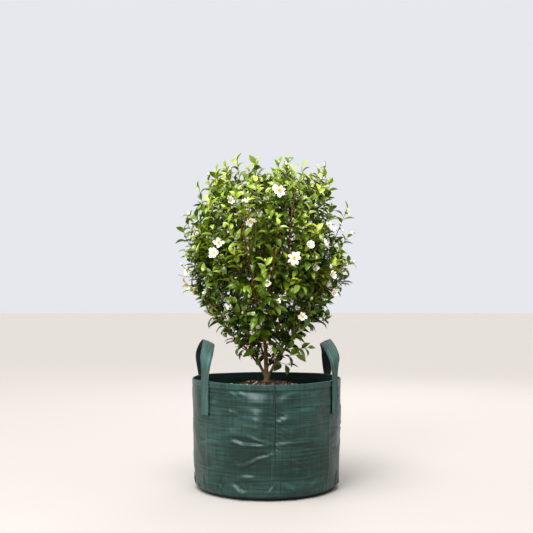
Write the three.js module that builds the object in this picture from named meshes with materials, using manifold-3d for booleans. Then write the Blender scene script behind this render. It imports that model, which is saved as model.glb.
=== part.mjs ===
// A camellia shrub with single white flowers, growing in a round woven planter bag with two carrying straps.
// Millimetres, +Z up. The origin is the middle of the bag's flat underside, +X is to the right, and -Y is the
// side that faces a viewer in front. Angles round the plant run from +X towards +Y.
import * as THREE from "three";
import { mergeVertices } from "three/addons/utils/BufferGeometryUtils.js";
import Module from "manifold-3d";

const wasm = await Module();
wasm.setup();

// Driving dimensions
const GAP = 0.3; // left between solids that touch
const FINEST = 0.005; // the least detail that a solid keeps
const SEED = 11;
const GOLDEN_ANGLE = Math.PI * (3 - Math.sqrt(5));

const BAG = {
  height: 361,
  rimRadius: 250,
  footRadius: 241,
  belly: 2,
  corner: 30,
  wall: 2.4,
  hemDepth: 18,
  hemStep: 0.9,
  strapLift: 3.5, // how far the straps pull the rim up
  sides: 36,
};
// The potting mix: its height at the wall and at the trunk, the flat radius there, and the power of its fall between.
const MIX = { edge: 305, peak: 347, seat: 30, fall: 1.1 };
// The straps: their tails reach down the wall by tail, and their arches rise above the rim, lean inwards at the top
// and tip their outer edge up there by tilt. Front and back are the sides of the bag that the legs stand on, and bow
// is how far each leg bows out on its way up.
const STRAP = { width: 41, thickness: 2.6, tail: 106, rise: 122, lean: 18, tilt: 20, steps: 26 };
const STRAPS = [
  { name: "handle_left", front: 218.5, back: 155, bow: [-5, 0] },
  { name: "handle_right", front: -28.4, back: 31.5, bow: [-3, 1] },
];

const CROWN = { foot: 375, belly: 720, top: 1092, radius: 290, taper: 1.3, squareness: 3 };
const TRUNK = { fork: 505, lean: 3, flare: 13.5, flareHeight: 9, radius: 7.8, tip: 5.8 };

// Each ring of masses: where they are centred, and where the leading shoot of each ends.
const RINGS = [
  {
    name: "upper", count: 5, turn: 10, centre: [140, 945], leader: [186, 1064],
    leavesTrunkAt: [0.06, 0.62, 0.1, 0.86, 0.74], base: 4.9, tip: 2.7, tilt: 30, finish: 12, entry: 0,
  },
  {
    name: "middle", count: 7, turn: 8, centre: [185, 745], leader: [236, 852],
    leavesStemAt: 0.2, base: 3.9, tip: 2.6, tilt: 42, finish: 34, entry: 0.3,
  },
  {
    name: "lower", count: 5, turn: 46, centre: [150, 540], leader: [212, 606],
    leavesTrunkAt: [0.3, 0.45, 0.2, 0.38, 0.14], base: 3.6, tip: 2.6, tilt: 40, finish: 62, entry: 0.34,
  },
  {
    name: "top", count: 1, turn: 190, centre: [6, 1000], leader: [38, 1084],
    leavesTrunkAt: [1], base: 5.2, tip: 2.7, tilt: 4, finish: 0, entry: 0,
  },
  {
    name: "core", count: 1, turn: 75, centre: [4, 745], leader: [30, 850],
    leavesTrunkAt: [0.92], base: 4.2, tip: 2.6, tilt: 12, finish: 4, entry: 0.3,
  },
];

const TWIG = { base: 1.8, tip: 1.4, angle: 0.7 };
const SHELLS = [
  { name: "outer", tips: 92, scale: 0.86, ragged: 0.12, leafAt: [0.4, 0.62, 0.8, 0.97] },
  { name: "inner", tips: 18, scale: 0.52, ragged: 0.16, leafAt: [0.5, 0.73, 0.96] },
];
const LEADER_LEAVES = [0.34, 0.5, 0.66, 0.82, 0.97];
const LEADER_KEY = 1000; // keeps the chances of the leading shoots apart from those of the twigs
const CROWN_CENTRE = 640; // the height that the shells shrink towards
const LEAF = { length: 72, width: 38, thick: 2, thickest: 0.15, widest: 0.46, arch: 0.07, open: 0.95, droop: 0.16 };
const CELL_MARGIN = 1; // how far a mass keeps inside the planes that part it from its neighbours

const FLOWER = { radius: 27, depth: 10, sunk: 1.2, notch: 0.66, cup: 5, outward: 0.8, upward: 0.35 };
// The blooms that face the front, as [x, z]; the others are dealt out by BLOOM_EVERY.
const FRONT_BLOOMS = [
  [85, 753], [-152, 802], [-164, 770], [40, 968], [-118, 938], [-50, 868],
  [183, 800], [133, 790], [206, 846], [208, 704], [218, 652], [112, 572],
];
const BLOOM_EVERY = 7;

// The part's own helpers for shape

// A number from 0 to 1 that depends only on its whole-number keys.
function chance(...keys) {
  let hash = SEED;
  for (const key of keys) {
    hash = Math.imul(hash ^ (key + 0x7f4a7c15), 0x9e3779b1);
    hash ^= hash >>> 15;
    hash = Math.imul(hash, 0x85ebca6b);
    hash ^= hash >>> 13;
  }
  return (hash >>> 0) / 2 ** 32;
}

const radians = (degrees) => (degrees * Math.PI) / 180;

// The point at a radius and a height, on the side that an angle in radians gives.
function around(radius, angle, height) {
  return new THREE.Vector3(radius * Math.cos(angle), radius * Math.sin(angle), height);
}

// The solid inside a closed geometry.
function solidOf(geometry) {
  const plain = geometry.clone();
  plain.deleteAttribute("normal");
  plain.deleteAttribute("uv");
  const merged = mergeVertices(plain, 1e-4);
  const corners = merged.index.array;
  const kept = [];
  for (let i = 0; i < corners.length; i += 3) {
    const [a, b, c] = corners.slice(i, i + 3);
    if (a !== b && b !== c && c !== a) kept.push(a, b, c);
  }
  return new wasm.Manifold(
    new wasm.Mesh({
      numProp: 3,
      vertProperties: new Float32Array(merged.getAttribute("position").array),
      triVerts: new Uint32Array(kept),
    }),
  );
}

// The geometry of a solid's largest piece, which fills any hollow sealed in it and has no needless corners.
function geometryOf(solid) {
  const pieces = solid.simplify(FINEST).decompose();
  const whole = pieces.reduce((most, piece) => (piece.volume() > most.volume() ? piece : most));
  const mesh = whole.getMesh();
  const geometry = new THREE.BufferGeometry();
  geometry.setAttribute("position", new THREE.BufferAttribute(new Float32Array(mesh.vertProperties), 3));
  geometry.setIndex(new THREE.BufferAttribute(new Uint32Array(mesh.triVerts), 1));
  return geometry;
}

// A named mesh with its own material.
function part(name, geometry, colour, roughness) {
  const shaded = geometry.index ? geometry.toNonIndexed() : geometry;
  shaded.computeVertexNormals();
  const material = new THREE.MeshStandardMaterial({ color: colour, roughness, metalness: 0 });
  const mesh = new THREE.Mesh(shaded, material);
  mesh.name = name;
  return mesh;
}

// Carries a geometry that stands from z = 0 to 1 along a path: frameAt(share) gives the section's centre and the
// directions of its x and y.
function carryAlong(geometry, frameAt) {
  const spots = geometry.getAttribute("position");
  for (let i = 0; i < spots.count; i += 1) {
    const { centre, across, over } = frameAt(THREE.MathUtils.clamp(spots.getZ(i), 0, 1));
    const spot = centre.clone().addScaledVector(across, spots.getX(i)).addScaledVector(over, spots.getY(i));
    spots.setXYZ(i, spot.x, spot.y, spot.z);
  }
  return geometry;
}

// A tapering round limb along part of a curve, from share start to share end of it.
function taperedLimb(curve, start, end, radiusAt, sides, steps) {
  const chord = curve.getPoint(1).sub(curve.getPoint(0));
  const flattest = Math.abs(chord.x) < Math.abs(chord.y) ? new THREE.Vector3(1, 0, 0) : new THREE.Vector3(0, 1, 0);
  const rod = new THREE.CylinderGeometry(1, 1, 1, sides, steps);
  rod.rotateX(Math.PI / 2).translate(0, 0, 0.5);
  return carryAlong(rod, (share) => {
    const t = start + (end - start) * share;
    const along = curve.getTangent(t);
    const across = new THREE.Vector3().crossVectors(flattest, along).normalize();
    const over = new THREE.Vector3().crossVectors(along, across);
    const radius = radiusAt(t);
    return {
      centre: curve.getPoint(t),
      across: across.multiplyScalar(radius),
      over: over.multiplyScalar(radius),
    };
  });
}

// The planter bag and what fills it

// The bag's outer radius at a height: a rounded foot corner, then a slight flare with a belly in it.
function bagRadius(z) {
  const share = Math.max(0, Math.min(1, (z - BAG.corner) / (BAG.height - BAG.corner)));
  const wall = BAG.footRadius + (BAG.rimRadius - BAG.footRadius) * share + BAG.belly * Math.sin(Math.PI * share);
  if (z >= BAG.corner) return wall;
  const drop = (BAG.corner - z) / BAG.corner;
  return wall - BAG.corner * (1 - Math.sqrt(1 - drop * drop));
}

// Turns a profile of [radius, height] about the upright axis.
function turned(profile) {
  const lathe = new THREE.LatheGeometry(
    profile.map(([radius, height]) => new THREE.Vector2(radius, height)),
    BAG.sides,
  );
  return lathe.rotateX(Math.PI / 2);
}

// Lifts the bag's wall near its rim where the legs of the straps pull it up.
function liftRim(bag) {
  const LOWEST = 0.6;
  const SPREAD = 12;
  const spots = bag.getAttribute("position");
  const legs = STRAPS.flatMap(({ front, back }) => [radians(front), radians(back)]);
  for (let i = 0; i < spots.count; i += 1) {
    const angle = Math.atan2(spots.getY(i), spots.getX(i));
    const pull = legs.reduce((sum, leg) => sum + Math.exp((Math.cos(angle - leg) - 1) * SPREAD), 0);
    const share = Math.max(0, spots.getZ(i) / BAG.height - LOWEST) / (1 - LOWEST);
    spots.setZ(i, spots.getZ(i) + BAG.strapLift * pull * share * share);
  }
  return bag;
}

function bagGeometry() {
  const hemFoot = BAG.height - BAG.hemDepth;
  const cornerHeights = [0, 0.3, 1].map((share) => BAG.corner * share);
  const wallHeights = [...cornerHeights, 130, 250, hemFoot - 2];
  const outer = wallHeights.map((z) => [bagRadius(z), z]);
  const hem = [
    [bagRadius(hemFoot) + BAG.hemStep, hemFoot],
    [bagRadius(BAG.height) + BAG.hemStep, BAG.height],
  ];
  const inner = [BAG.height, 250, 130, BAG.corner + 4].map((z) => [bagRadius(z) - BAG.wall, z]);
  const floor = [
    [BAG.footRadius - BAG.corner, BAG.wall],
    [0, BAG.wall],
  ];
  return geometryOf(solidOf(liftRim(turned([[0, 0], ...outer, ...hem, ...inner, ...floor]))));
}

// The height of the potting mix at a radius: a flat seat for the trunk in the middle of a low mound.
function mixHeight(radius) {
  const share = Math.max(0, radius - MIX.seat) / (BAG.rimRadius - MIX.seat);
  return MIX.edge + (MIX.peak - MIX.edge) * (1 - Math.pow(share, MIX.fall));
}

function mixGeometry() {
  const inset = BAG.wall + GAP + 0.4;
  const foot = BAG.wall + GAP;
  const base = [[0, foot], [BAG.footRadius - BAG.corner - 3, foot], [bagRadius(BAG.corner) - inset, BAG.corner + 4]];
  const edge = bagRadius(MIX.edge) - inset;
  const surface = [edge, 195, 120, MIX.seat].map((radius) => [radius, mixHeight(radius)]);
  return geometryOf(solidOf(turned([...base, ...surface, [0, MIX.peak]])));
}

// A carrying strap: up the outside of the bag on its front leg, over in an arch, and down its back leg. The webbing
// lies against the bag on each leg. It turns a quarter of its way on the front leg and the rest behind the top.
function strapGeometry(strap) {
  const SHOULDER = 0.6;
  const EARLY_TURN = 0.25;
  const standOff = bagRadius(BAG.height) + BAG.hemStep + GAP + STRAP.thickness / 2;
  const [front, back] = [radians(strap.front), radians(strap.back)];
  const middle = (front + back) / 2;
  const legPoints = (angle, bow) => [
    around(standOff, angle, BAG.height - STRAP.tail),
    around(standOff, angle, BAG.height - BAG.hemDepth),
    around(standOff + 0.5, angle, BAG.height + 8),
    around(standOff + bow, angle, BAG.height + STRAP.rise * SHOULDER),
  ];
  const topRadius = standOff * Math.cos((front - back) / 2) - STRAP.lean;
  const top = around(topRadius, middle, BAG.height + STRAP.rise);
  const path = new THREE.CatmullRomCurve3([
    ...legPoints(front, strap.bow[0]),
    top,
    ...legPoints(back, strap.bow[1]).reverse(),
  ]);
  const side = Math.sign(back - front);
  const [lying, turnInAll] = [front + (side * Math.PI) / 2, back - front - side * Math.PI];
  const webbing = new THREE.BoxGeometry(STRAP.width, STRAP.thickness, 1, 1, 1, STRAP.steps).translate(0, 0, 0.5);
  return carryAlong(webbing, (share) => {
    const { smoothstep } = THREE.MathUtils;
    const centre = path.getPoint(share);
    const turn = EARLY_TURN * smoothstep(share, 0.25, 0.42) + (1 - EARLY_TURN) * smoothstep(share, 0.5, 0.79);
    const tilt = radians(STRAP.tilt) * smoothstep(centre.z - BAG.height, 0, STRAP.rise * 0.95);
    const along = path.getTangent(share);
    const across = around(Math.cos(tilt), lying + turnInAll * turn, Math.sin(tilt));
    across.addScaledVector(along, -across.dot(along)).normalize();
    return { centre, across, over: new THREE.Vector3().crossVectors(along, across) };
  });
}

// The crown: its outline, its masses and the limbs that carry them

// The crown's outline as a radius at each height: rounded like a barrel above its belly, drawn in below.
function crownRadius(z) {
  const above = z > CROWN.belly;
  const span = above ? CROWN.top - CROWN.belly : CROWN.belly - CROWN.foot;
  const power = above ? CROWN.squareness : CROWN.taper;
  const away = Math.min(1, Math.abs(z - CROWN.belly) / span);
  return CROWN.radius * Math.pow(1 - Math.pow(away, power), 1 / power);
}

// The heights that part the outline into bands of equal area, one height at the middle of each band.
function evenHeights(count) {
  const slices = 200;
  const step = (CROWN.top - CROWN.foot) / slices;
  const area = [0];
  for (let i = 0; i < slices; i += 1) {
    const low = crownRadius(CROWN.foot + i * step);
    const high = crownRadius(CROWN.foot + (i + 1) * step);
    area.push(area[i] + (low + high) * Math.hypot(high - low, step));
  }
  return Array.from({ length: count }, (_, band) => {
    const wanted = (area[slices] * (band + 0.5)) / count;
    const slice = area.findIndex((sum) => sum > wanted) - 1;
    return CROWN.foot + step * (slice + (wanted - area[slice]) / (area[slice + 1] - area[slice]));
  });
}

// Where the twigs of a shell end: a spiral over the outline, drawn in by the shell's scale and made ragged.
function shellTips(shell, shellIndex) {
  const centre = new THREE.Vector3(0, 0, CROWN_CENTRE);
  return evenHeights(shell.tips).map((z, i) => {
    const angle = i * GOLDEN_ANGLE + shellIndex;
    const reach = shell.scale + shell.ragged * (chance(shellIndex, i, 1) - 0.6);
    return around(crownRadius(z), angle, z).sub(centre).multiplyScalar(reach).add(centre);
  });
}

// A limb's whole path, from where it leaves its parent to the end of its mass's leading shoot.
function limbPath(start, end, angle, ring) {
  const reach = start.distanceTo(end);
  const [tilt, finish] = [radians(ring.tilt), radians(ring.finish)];
  const leaving = around(Math.sin(tilt), angle, Math.cos(tilt));
  const arriving = around(Math.sin(finish), angle, Math.cos(finish));
  return new THREE.CubicBezierCurve3(
    start,
    start.clone().addScaledVector(leaving, reach * 0.36),
    end.clone().addScaledVector(arriving, -reach * 0.34),
    end,
  );
}

// The trunk stands upright on the mix, then leans a little to the left and comes back.
const trunkCurve = new THREE.CubicBezierCurve3(
  new THREE.Vector3(0, 0, MIX.peak + GAP),
  new THREE.Vector3(0, 0, MIX.peak + 40),
  new THREE.Vector3(-2 * TRUNK.lean, 0, TRUNK.fork - 50),
  new THREE.Vector3(0, 0, TRUNK.fork),
);

// The trunk's radius at a share of its height, with the root flare at its foot.
function trunkRadius(share) {
  const height = share * (TRUNK.fork - MIX.peak);
  const flare = (TRUNK.flare - TRUNK.radius) * Math.exp(-height / TRUNK.flareHeight);
  return TRUNK.radius + (TRUNK.tip - TRUNK.radius) * share + flare;
}

// The masses in the order of their rings, each with its centre, path and the limb that it leaves.
function layOutMasses() {
  const masses = [];
  RINGS.forEach((ring, ringIndex) => {
    for (let i = 0; i < ring.count; i += 1) {
      const sway = ring.count > 1 ? (chance(ringIndex, i, 2) - 0.5) * 0.24 : 0;
      const angle = radians(ring.turn) + (2 * Math.PI * i) / ring.count + sway;
      const lift = ring.count > 1 ? (chance(ringIndex, i, 3) - 0.5) * 34 : 0;
      const centre = around(ring.centre[0], angle, ring.centre[1] + lift * 0.4);
      const end = around(ring.leader[0], angle, ring.leader[1] + lift);
      const name = ring.count > 1 ? `${ring.name}_${i + 1}` : ring.name;
      masses.push({ ring, place: i, index: masses.length, name, angle, centre, end });
    }
  });
  const stems = masses.filter((mass) => mass.ring.name === "upper");
  for (const mass of masses) {
    const { ring } = mass;
    if (ring.leavesStemAt) {
      const turnTo = (stem) => Math.cos(stem.angle - mass.angle);
      const parent = stems.reduce((best, stem) => (turnTo(stem) > turnTo(best) ? stem : best));
      const share = ring.leavesStemAt + 0.1 * chance(mass.index, 4);
      mass.path = limbPath(parent.path.getPoint(share), mass.end, mass.angle, ring);
    } else {
      mass.path = limbPath(trunkCurve.getPoint(ring.leavesTrunkAt[mass.place]), mass.end, mass.angle, ring);
    }
  }
  return masses;
}

const masses = layOutMasses();

// Whether points all lie in a mass's own space: nearer to its centre than to any other.
function inOwnSpace(points, mass) {
  return masses.every((other) => {
    if (other === mass) return true;
    const apart = other.centre.distanceTo(mass.centre);
    return points.every((point) => {
      const nearer = other.centre.distanceToSquared(point) - mass.centre.distanceToSquared(point);
      return nearer / (2 * apart) > CELL_MARGIN;
    });
  });
}

// The share of a mass's path at which its limb ends: where the path last enters the mass's space.
function entryShare(mass) {
  const steps = 60;
  let step = steps - 1;
  while (step > 0 && inOwnSpace([mass.path.getPoint(step / steps)], mass)) step -= 1;
  return Math.max((step + 1) / steps, mass.ring.entry);
}

function pathRadius(mass) {
  const { base, tip } = mass.ring;
  return (t) => tip + (base - tip) * Math.pow(1 - t, 1.15);
}

// The limbs as solids. Each is cut clear of those made before it, and a swollen copy of all keeps foliage off.
function growLimbs() {
  const swollenBy = (extra, radiusAt) => (t) => radiusAt(t) + extra;
  const trunkShape = (radiusAt) => solidOf(taperedLimb(trunkCurve, 0, 1, radiusAt, 10, 9));
  const limbs = [{ name: "trunk", solid: trunkShape(trunkRadius) }];
  let keepOff = trunkShape(swollenBy(GAP, trunkRadius));
  for (const mass of masses) {
    mass.entry = entryShare(mass);
    const length = mass.path.getLength();
    const end = mass.entry - GAP / length;
    const shape = (radiusAt) => solidOf(taperedLimb(mass.path, 0, end, radiusAt, 6, Math.ceil(7 * end)));
    const solid = shape(pathRadius(mass)).subtract(keepOff);
    const name = mass.ring.name === "upper" ? `stem_${mass.index + 1}` : `bough_${mass.name}`;
    limbs.push({ name, solid });
    keepOff = keepOff.add(shape(swollenBy(GAP, pathRadius(mass))));
  }
  return { limbs, keepOff };
}

// Leaves, twigs and flowers

// A leaf of six faces from (0, 0, 0) along +X: two edges, a keel below them, and a tip that arches down.
function leafGeometry(length) {
  const blade = new THREE.SphereGeometry(1, 3, 2);
  const spots = blade.getAttribute("position");
  const halfWidth = (LEAF.width / LEAF.length) * length * 0.5;
  for (let i = 0; i < spots.count; i += 1) {
    const [pole, side] = [spots.getY(i), spots.getZ(i)].map((value) => Math.round(value));
    const onKeel = pole === 0 && side === 0;
    const middle = onKeel ? LEAF.thickest : LEAF.widest;
    const along = pole === 0 ? middle : (1 - pole) / 2;
    const depth = pole < 0 ? LEAF.arch * length : 0;
    spots.setXYZ(i, along * length, -side * halfWidth, onKeel ? -LEAF.thick : -depth);
  }
  return blade;
}

// The matrix that lays a leaf with its root at a point, at its angle round a twig that runs along a direction.
function leafMatrix(root, along, turn, key) {
  const level = new THREE.Vector3(-along.y, along.x, 0.001).normalize();
  const side = level.applyAxisAngle(along, turn);
  const open = LEAF.open + 0.3 * (chance(key, 6) - 0.5);
  const axis = along.clone().multiplyScalar(Math.cos(open)).addScaledVector(side, Math.sin(open));
  axis.z -= LEAF.droop * (root.z < CROWN.belly ? 2 : 1);
  axis.normalize();
  const facing = around(0.7, Math.atan2(root.y, root.x), 0.75 + 0.5 * chance(key, 7));
  facing.addScaledVector(axis, -facing.dot(axis)).normalize();
  const across = new THREE.Vector3().crossVectors(facing, axis);
  return new THREE.Matrix4().makeBasis(axis, across, facing).setPosition(root);
}

// The corners of a geometry as vectors.
function cornersOf(geometry) {
  const spots = geometry.getAttribute("position");
  return Array.from({ length: spots.count }, (_, i) => new THREE.Vector3().fromBufferAttribute(spots, i));
}

// Whether two solids meet in a clean neck, none of whose corners fall together.
function meetCleanly(solid, other) {
  const neck = solid.intersect(other);
  if (neck.isEmpty()) return false;
  const spots = neck.getMesh().vertProperties;
  for (let i = 0; i < spots.length; i += 3) {
    for (let j = i + 3; j < spots.length; j += 3) {
      const apart = Math.hypot(spots[i] - spots[j], spots[i + 1] - spots[j + 1], spots[i + 2] - spots[j + 2]);
      if (apart < FINEST) return false;
    }
  }
  return true;
}

// Adds a geometry to a mass if it keeps to the mass's space, touches no limb and meets the mass cleanly, and if
// the part of it that has to hang free meets nothing of the mass.
function fuseIfClear(mass, geometry, keepOff, free = null) {
  if (!inOwnSpace(cornersOf(geometry), mass)) return false;
  const solid = solidOf(geometry);
  if (!solid.intersect(keepOff).isEmpty() || !meetCleanly(solid, mass.solid)) return false;
  if (free && !solidOf(free).intersect(mass.solid).isEmpty()) return false;
  mass.solid = mass.solid.add(solid);
  return true;
}

// The point at a share of a shoot, whose solid is straight between its steps.
function shootPoint({ curve, start, steps }, share) {
  const along = Math.min(share * steps, steps - 1e-6);
  const ends = [Math.floor(along), Math.floor(along) + 1].map((k) => curve.getPoint(start + ((1 - start) * k) / steps));
  return ends[0].lerp(ends[1], along % 1);
}

// Sets leaves along a shoot, each turned on from the last by the golden angle, or further if it doesn't fit there.
function leafAlong(mass, shoot, shares, key, keepOff) {
  const TRIES = 5;
  const NEXT_TRY = 1.3;
  const FREE = 0.8;
  shares.forEach((share, j) => {
    const leafKey = key * 16 + j;
    const length = LEAF.length * (0.86 + 0.28 * chance(leafKey, 8));
    for (let attempt = 0; attempt < TRIES; attempt += 1) {
      const turn = j * GOLDEN_ANGLE + key + attempt * NEXT_TRY;
      const along = shoot.curve.getTangent(shoot.start + (1 - shoot.start) * share);
      const matrix = leafMatrix(shootPoint(shoot, share), along, turn, leafKey);
      const leaf = leafGeometry(length);
      const tip = new THREE.Vector3(length, 0, -LEAF.arch * length).multiplyScalar(1 - FREE);
      const free = leaf.clone().scale(FREE, FREE, FREE).translate(tip.x, tip.y, tip.z);
      if (fuseIfClear(mass, leaf.applyMatrix4(matrix), keepOff, free.applyMatrix4(matrix))) break;
    }
  });
}

// A twig's curve: it leaves its stem where it can climb to its tip at about the branching angle, going out first.
function twigCurve(mass, tip, key) {
  const samples = 12;
  let best = { miss: Infinity };
  for (let i = 0; i < samples; i += 1) {
    const t = mass.entry + (1 - mass.entry) * (0.04 + (0.86 * (i + chance(key, 9) * 0.8)) / samples);
    const climb = tip.clone().sub(mass.path.getPoint(t));
    const miss = Math.abs(climb.angleTo(mass.path.getTangent(t)) - TWIG.angle) + climb.length() / 700;
    if (miss < best.miss) best = { miss, t, climb };
  }
  const start = mass.path.getPoint(best.t);
  const bend = start.clone();
  bend.x += best.climb.x * 0.56;
  bend.y += best.climb.y * 0.56;
  bend.z += best.climb.z * 0.4;
  return new THREE.QuadraticBezierCurve3(start, bend, tip);
}

// A flower as a shallow cup with five lobes, from (0, 0, 0) opening along +Z.
function flowerGeometry() {
  const LOBES = 5;
  const cup = new THREE.ConeGeometry(FLOWER.radius, FLOWER.depth, LOBES * 2, 1);
  cup.rotateX(-Math.PI / 2).translate(0, 0, FLOWER.depth / 2);
  const spots = cup.getAttribute("position");
  for (let i = 0; i < spots.count; i += 1) {
    const [x, y, z] = [spots.getX(i), spots.getY(i), spots.getZ(i)];
    if (Math.hypot(x, y) > 1) {
      const lobe = Math.round((Math.atan2(y, x) / Math.PI) * LOBES);
      const scale = lobe % 2 === 0 ? 1 : FLOWER.notch;
      spots.setXYZ(i, x * scale, y * scale, z);
    } else if (z > FLOWER.depth / 2) {
      spots.setZ(i, FLOWER.depth - FLOWER.cup);
    }
  }
  return cup;
}

// The matrix that sets a flower on a twig's tip, spun about its own axis.
function flowerMatrix(tip, spin) {
  const facing = around(FLOWER.outward, Math.atan2(tip.y, tip.x), FLOWER.upward).normalize();
  const across = new THREE.Vector3(-facing.y, facing.x, 0).normalize().applyAxisAngle(facing, spin);
  const over = new THREE.Vector3().crossVectors(facing, across);
  const sunk = tip.clone().addScaledVector(facing, -FLOWER.sunk);
  return new THREE.Matrix4().makeBasis(across, over, facing).setPosition(sunk);
}

// Every tip that a twig grows to, with whether it ends in a flower.
function allTips() {
  const tips = SHELLS.flatMap((shell, shellIndex) =>
    shellTips(shell, shellIndex).map((at, i) => ({
      at,
      leafAt: shell.leafAt,
      flower: shellIndex === 0 && at.y > -60 && i % BLOOM_EVERY === 3,
    })),
  );
  const bloomReach = 0.97;
  const front = FRONT_BLOOMS.map(([x, z]) => {
    const depth = Math.sqrt(Math.max(0, (bloomReach * crownRadius(z)) ** 2 - x * x));
    return { at: new THREE.Vector3(x, -depth, z), leafAt: [0.5, 0.72], flower: true };
  });
  return [...tips, ...front].map((tip, key) => ({ ...tip, key }));
}

// One mass of foliage: its leading shoot, the twigs that reach its share of the tips, their flowers and leaves.
function growMass(mass, tips, keepOff) {
  const leader = { curve: mass.path, start: mass.entry, steps: 5 };
  mass.solid = solidOf(taperedLimb(mass.path, mass.entry, 1, pathRadius(mass), 4, leader.steps));
  const radiusAt = (t) => TWIG.base + (TWIG.tip - TWIG.base) * t;
  const twigs = tips
    .filter(({ at }) => inOwnSpace([at], mass))
    .map((tip) => ({ ...tip, curve: twigCurve(mass, tip.at, tip.key), start: 0, steps: 2 }))
    .filter(({ curve, steps }) => fuseIfClear(mass, taperedLimb(curve, 0, 1, radiusAt, 3, steps), keepOff));
  for (const { at, key } of twigs.filter(({ flower }) => flower)) {
    const spins = [0, 1, 2, 3].map((attempt) => key + attempt * 0.23);
    spins.some((spin) => fuseIfClear(mass, flowerGeometry().applyMatrix4(flowerMatrix(at, spin)), keepOff));
  }
  leafAlong(mass, leader, LEADER_LEAVES, LEADER_KEY + mass.index, keepOff);
  for (const twig of twigs) leafAlong(mass, twig, twig.leafAt, twig.key, keepOff);
  return geometryOf(mass.solid);
}

// The whole plant in its bag
const COLOURS = { bag: 0x2c4a41, strap: 0x5f817c, mix: 0x4a3526, bark: 0x6b5138, leaf: 0x4c6b24 };

const shrub = new THREE.Group();
shrub.add(part("planter_bag", bagGeometry(), COLOURS.bag, 0.4));
shrub.add(part("potting_mix", mixGeometry(), COLOURS.mix, 0.95));
for (const strap of STRAPS) shrub.add(part(strap.name, strapGeometry(strap), COLOURS.strap, 0.6));

const { limbs, keepOff } = growLimbs();
for (const { name, solid } of limbs) shrub.add(part(name, geometryOf(solid), COLOURS.bark, 0.85));

const tips = allTips();
for (const mass of masses) {
  shrub.add(part(`foliage_${mass.name}`, growMass(mass, tips, keepOff), COLOURS.leaf, 0.45));
}

export default shrub;
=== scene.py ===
import math

import bpy
import numpy as np
from bpy.props import FloatProperty, FloatVectorProperty, IntProperty, PointerProperty
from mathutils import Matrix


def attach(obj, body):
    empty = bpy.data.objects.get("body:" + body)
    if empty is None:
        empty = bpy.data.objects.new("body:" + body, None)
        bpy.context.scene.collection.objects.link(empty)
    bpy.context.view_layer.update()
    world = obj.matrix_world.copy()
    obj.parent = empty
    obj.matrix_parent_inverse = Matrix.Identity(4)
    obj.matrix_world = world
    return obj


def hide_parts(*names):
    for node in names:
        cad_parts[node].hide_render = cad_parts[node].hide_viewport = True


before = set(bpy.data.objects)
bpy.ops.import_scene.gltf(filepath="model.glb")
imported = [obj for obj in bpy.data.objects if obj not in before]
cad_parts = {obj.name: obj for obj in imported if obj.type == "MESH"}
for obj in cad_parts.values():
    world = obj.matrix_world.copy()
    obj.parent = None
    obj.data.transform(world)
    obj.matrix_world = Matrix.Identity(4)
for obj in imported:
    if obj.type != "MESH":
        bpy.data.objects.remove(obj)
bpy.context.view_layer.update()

# A camellia shrub with single white flowers in a woven planter bag with two carrying straps. Metres, +Z up,
# -Y is the front. Angles round the plant run from +X towards +Y.

bl_info = {
    "name": "Camellia Shrub in a Planter Bag",
    "version": (1, 0, 0),
    "blender": (4, 5, 0),
    "location": "View3D > Sidebar > Camellia",
    "description": "Builds a flowering camellia shrub, its planter bag and a plain stage",
    "category": "Add Mesh",
}

SEED = 11
GOLDEN_ANGLE = math.pi * (3 - math.sqrt(5))
TAU = 2 * math.pi

# The straps: the angles of their front and back legs, and how far each leg bows out on its way up.
STRAPS = {
    "left": {"front": 218.5, "back": 155.0, "bow": (-0.005, 0.0)},
    "right": {"front": -28.4, "back": 31.5, "bow": (-0.003, 0.001)},
}

# The rings of foliage masses, as in the part's source: where each mass is centred, where its leading shoot
# ends, where its limb leaves its parent, and the limb's radii and angles.
RINGS = [
    dict(name="upper", count=5, turn=10, centre=(0.140, 0.945), leader=(0.186, 1.064),
         from_trunk=(0.06, 0.62, 0.1, 0.86, 0.74), base=0.0049, tip=0.0027, tilt=30, finish=12, entry=0.0),
    dict(name="middle", count=7, turn=8, centre=(0.185, 0.745), leader=(0.236, 0.852),
         from_stem=0.2, base=0.0039, tip=0.0026, tilt=42, finish=34, entry=0.3),
    dict(name="lower", count=5, turn=46, centre=(0.150, 0.540), leader=(0.212, 0.606),
         from_trunk=(0.3, 0.45, 0.2, 0.38, 0.14), base=0.0036, tip=0.0026, tilt=40, finish=62, entry=0.34),
    dict(name="top", count=1, turn=190, centre=(0.006, 1.000), leader=(0.038, 1.084),
         from_trunk=(1.0,), base=0.0052, tip=0.0027, tilt=4, finish=0, entry=0.0),
    dict(name="core", count=1, turn=75, centre=(0.004, 0.745), leader=(0.030, 0.850),
         from_trunk=(0.92,), base=0.0042, tip=0.0026, tilt=12, finish=4, entry=0.3),
]
# The crown's outline: its foot, belly and top, its radius, the powers of its curve below and above the
# belly, and the height that everything is drawn in towards.
CROWN = dict(foot=0.375, belly=0.720, top=1.092, radius=0.290, taper=1.3, squareness=3.0, middle=0.640)
# High on the right the outline is drawn in by a bell: how much, where, and its half widths.
DRAWN_IN = dict(share=0.20, height=0.87, half_angle=0.75, half_height=0.085)
# The twigs end on two shells: how many, how large beside the outline, and how unevenly.
SHELLS = [dict(tips=92, scale=0.86, ragged=0.12), dict(tips=18, scale=0.52, ragged=0.16)]
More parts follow.
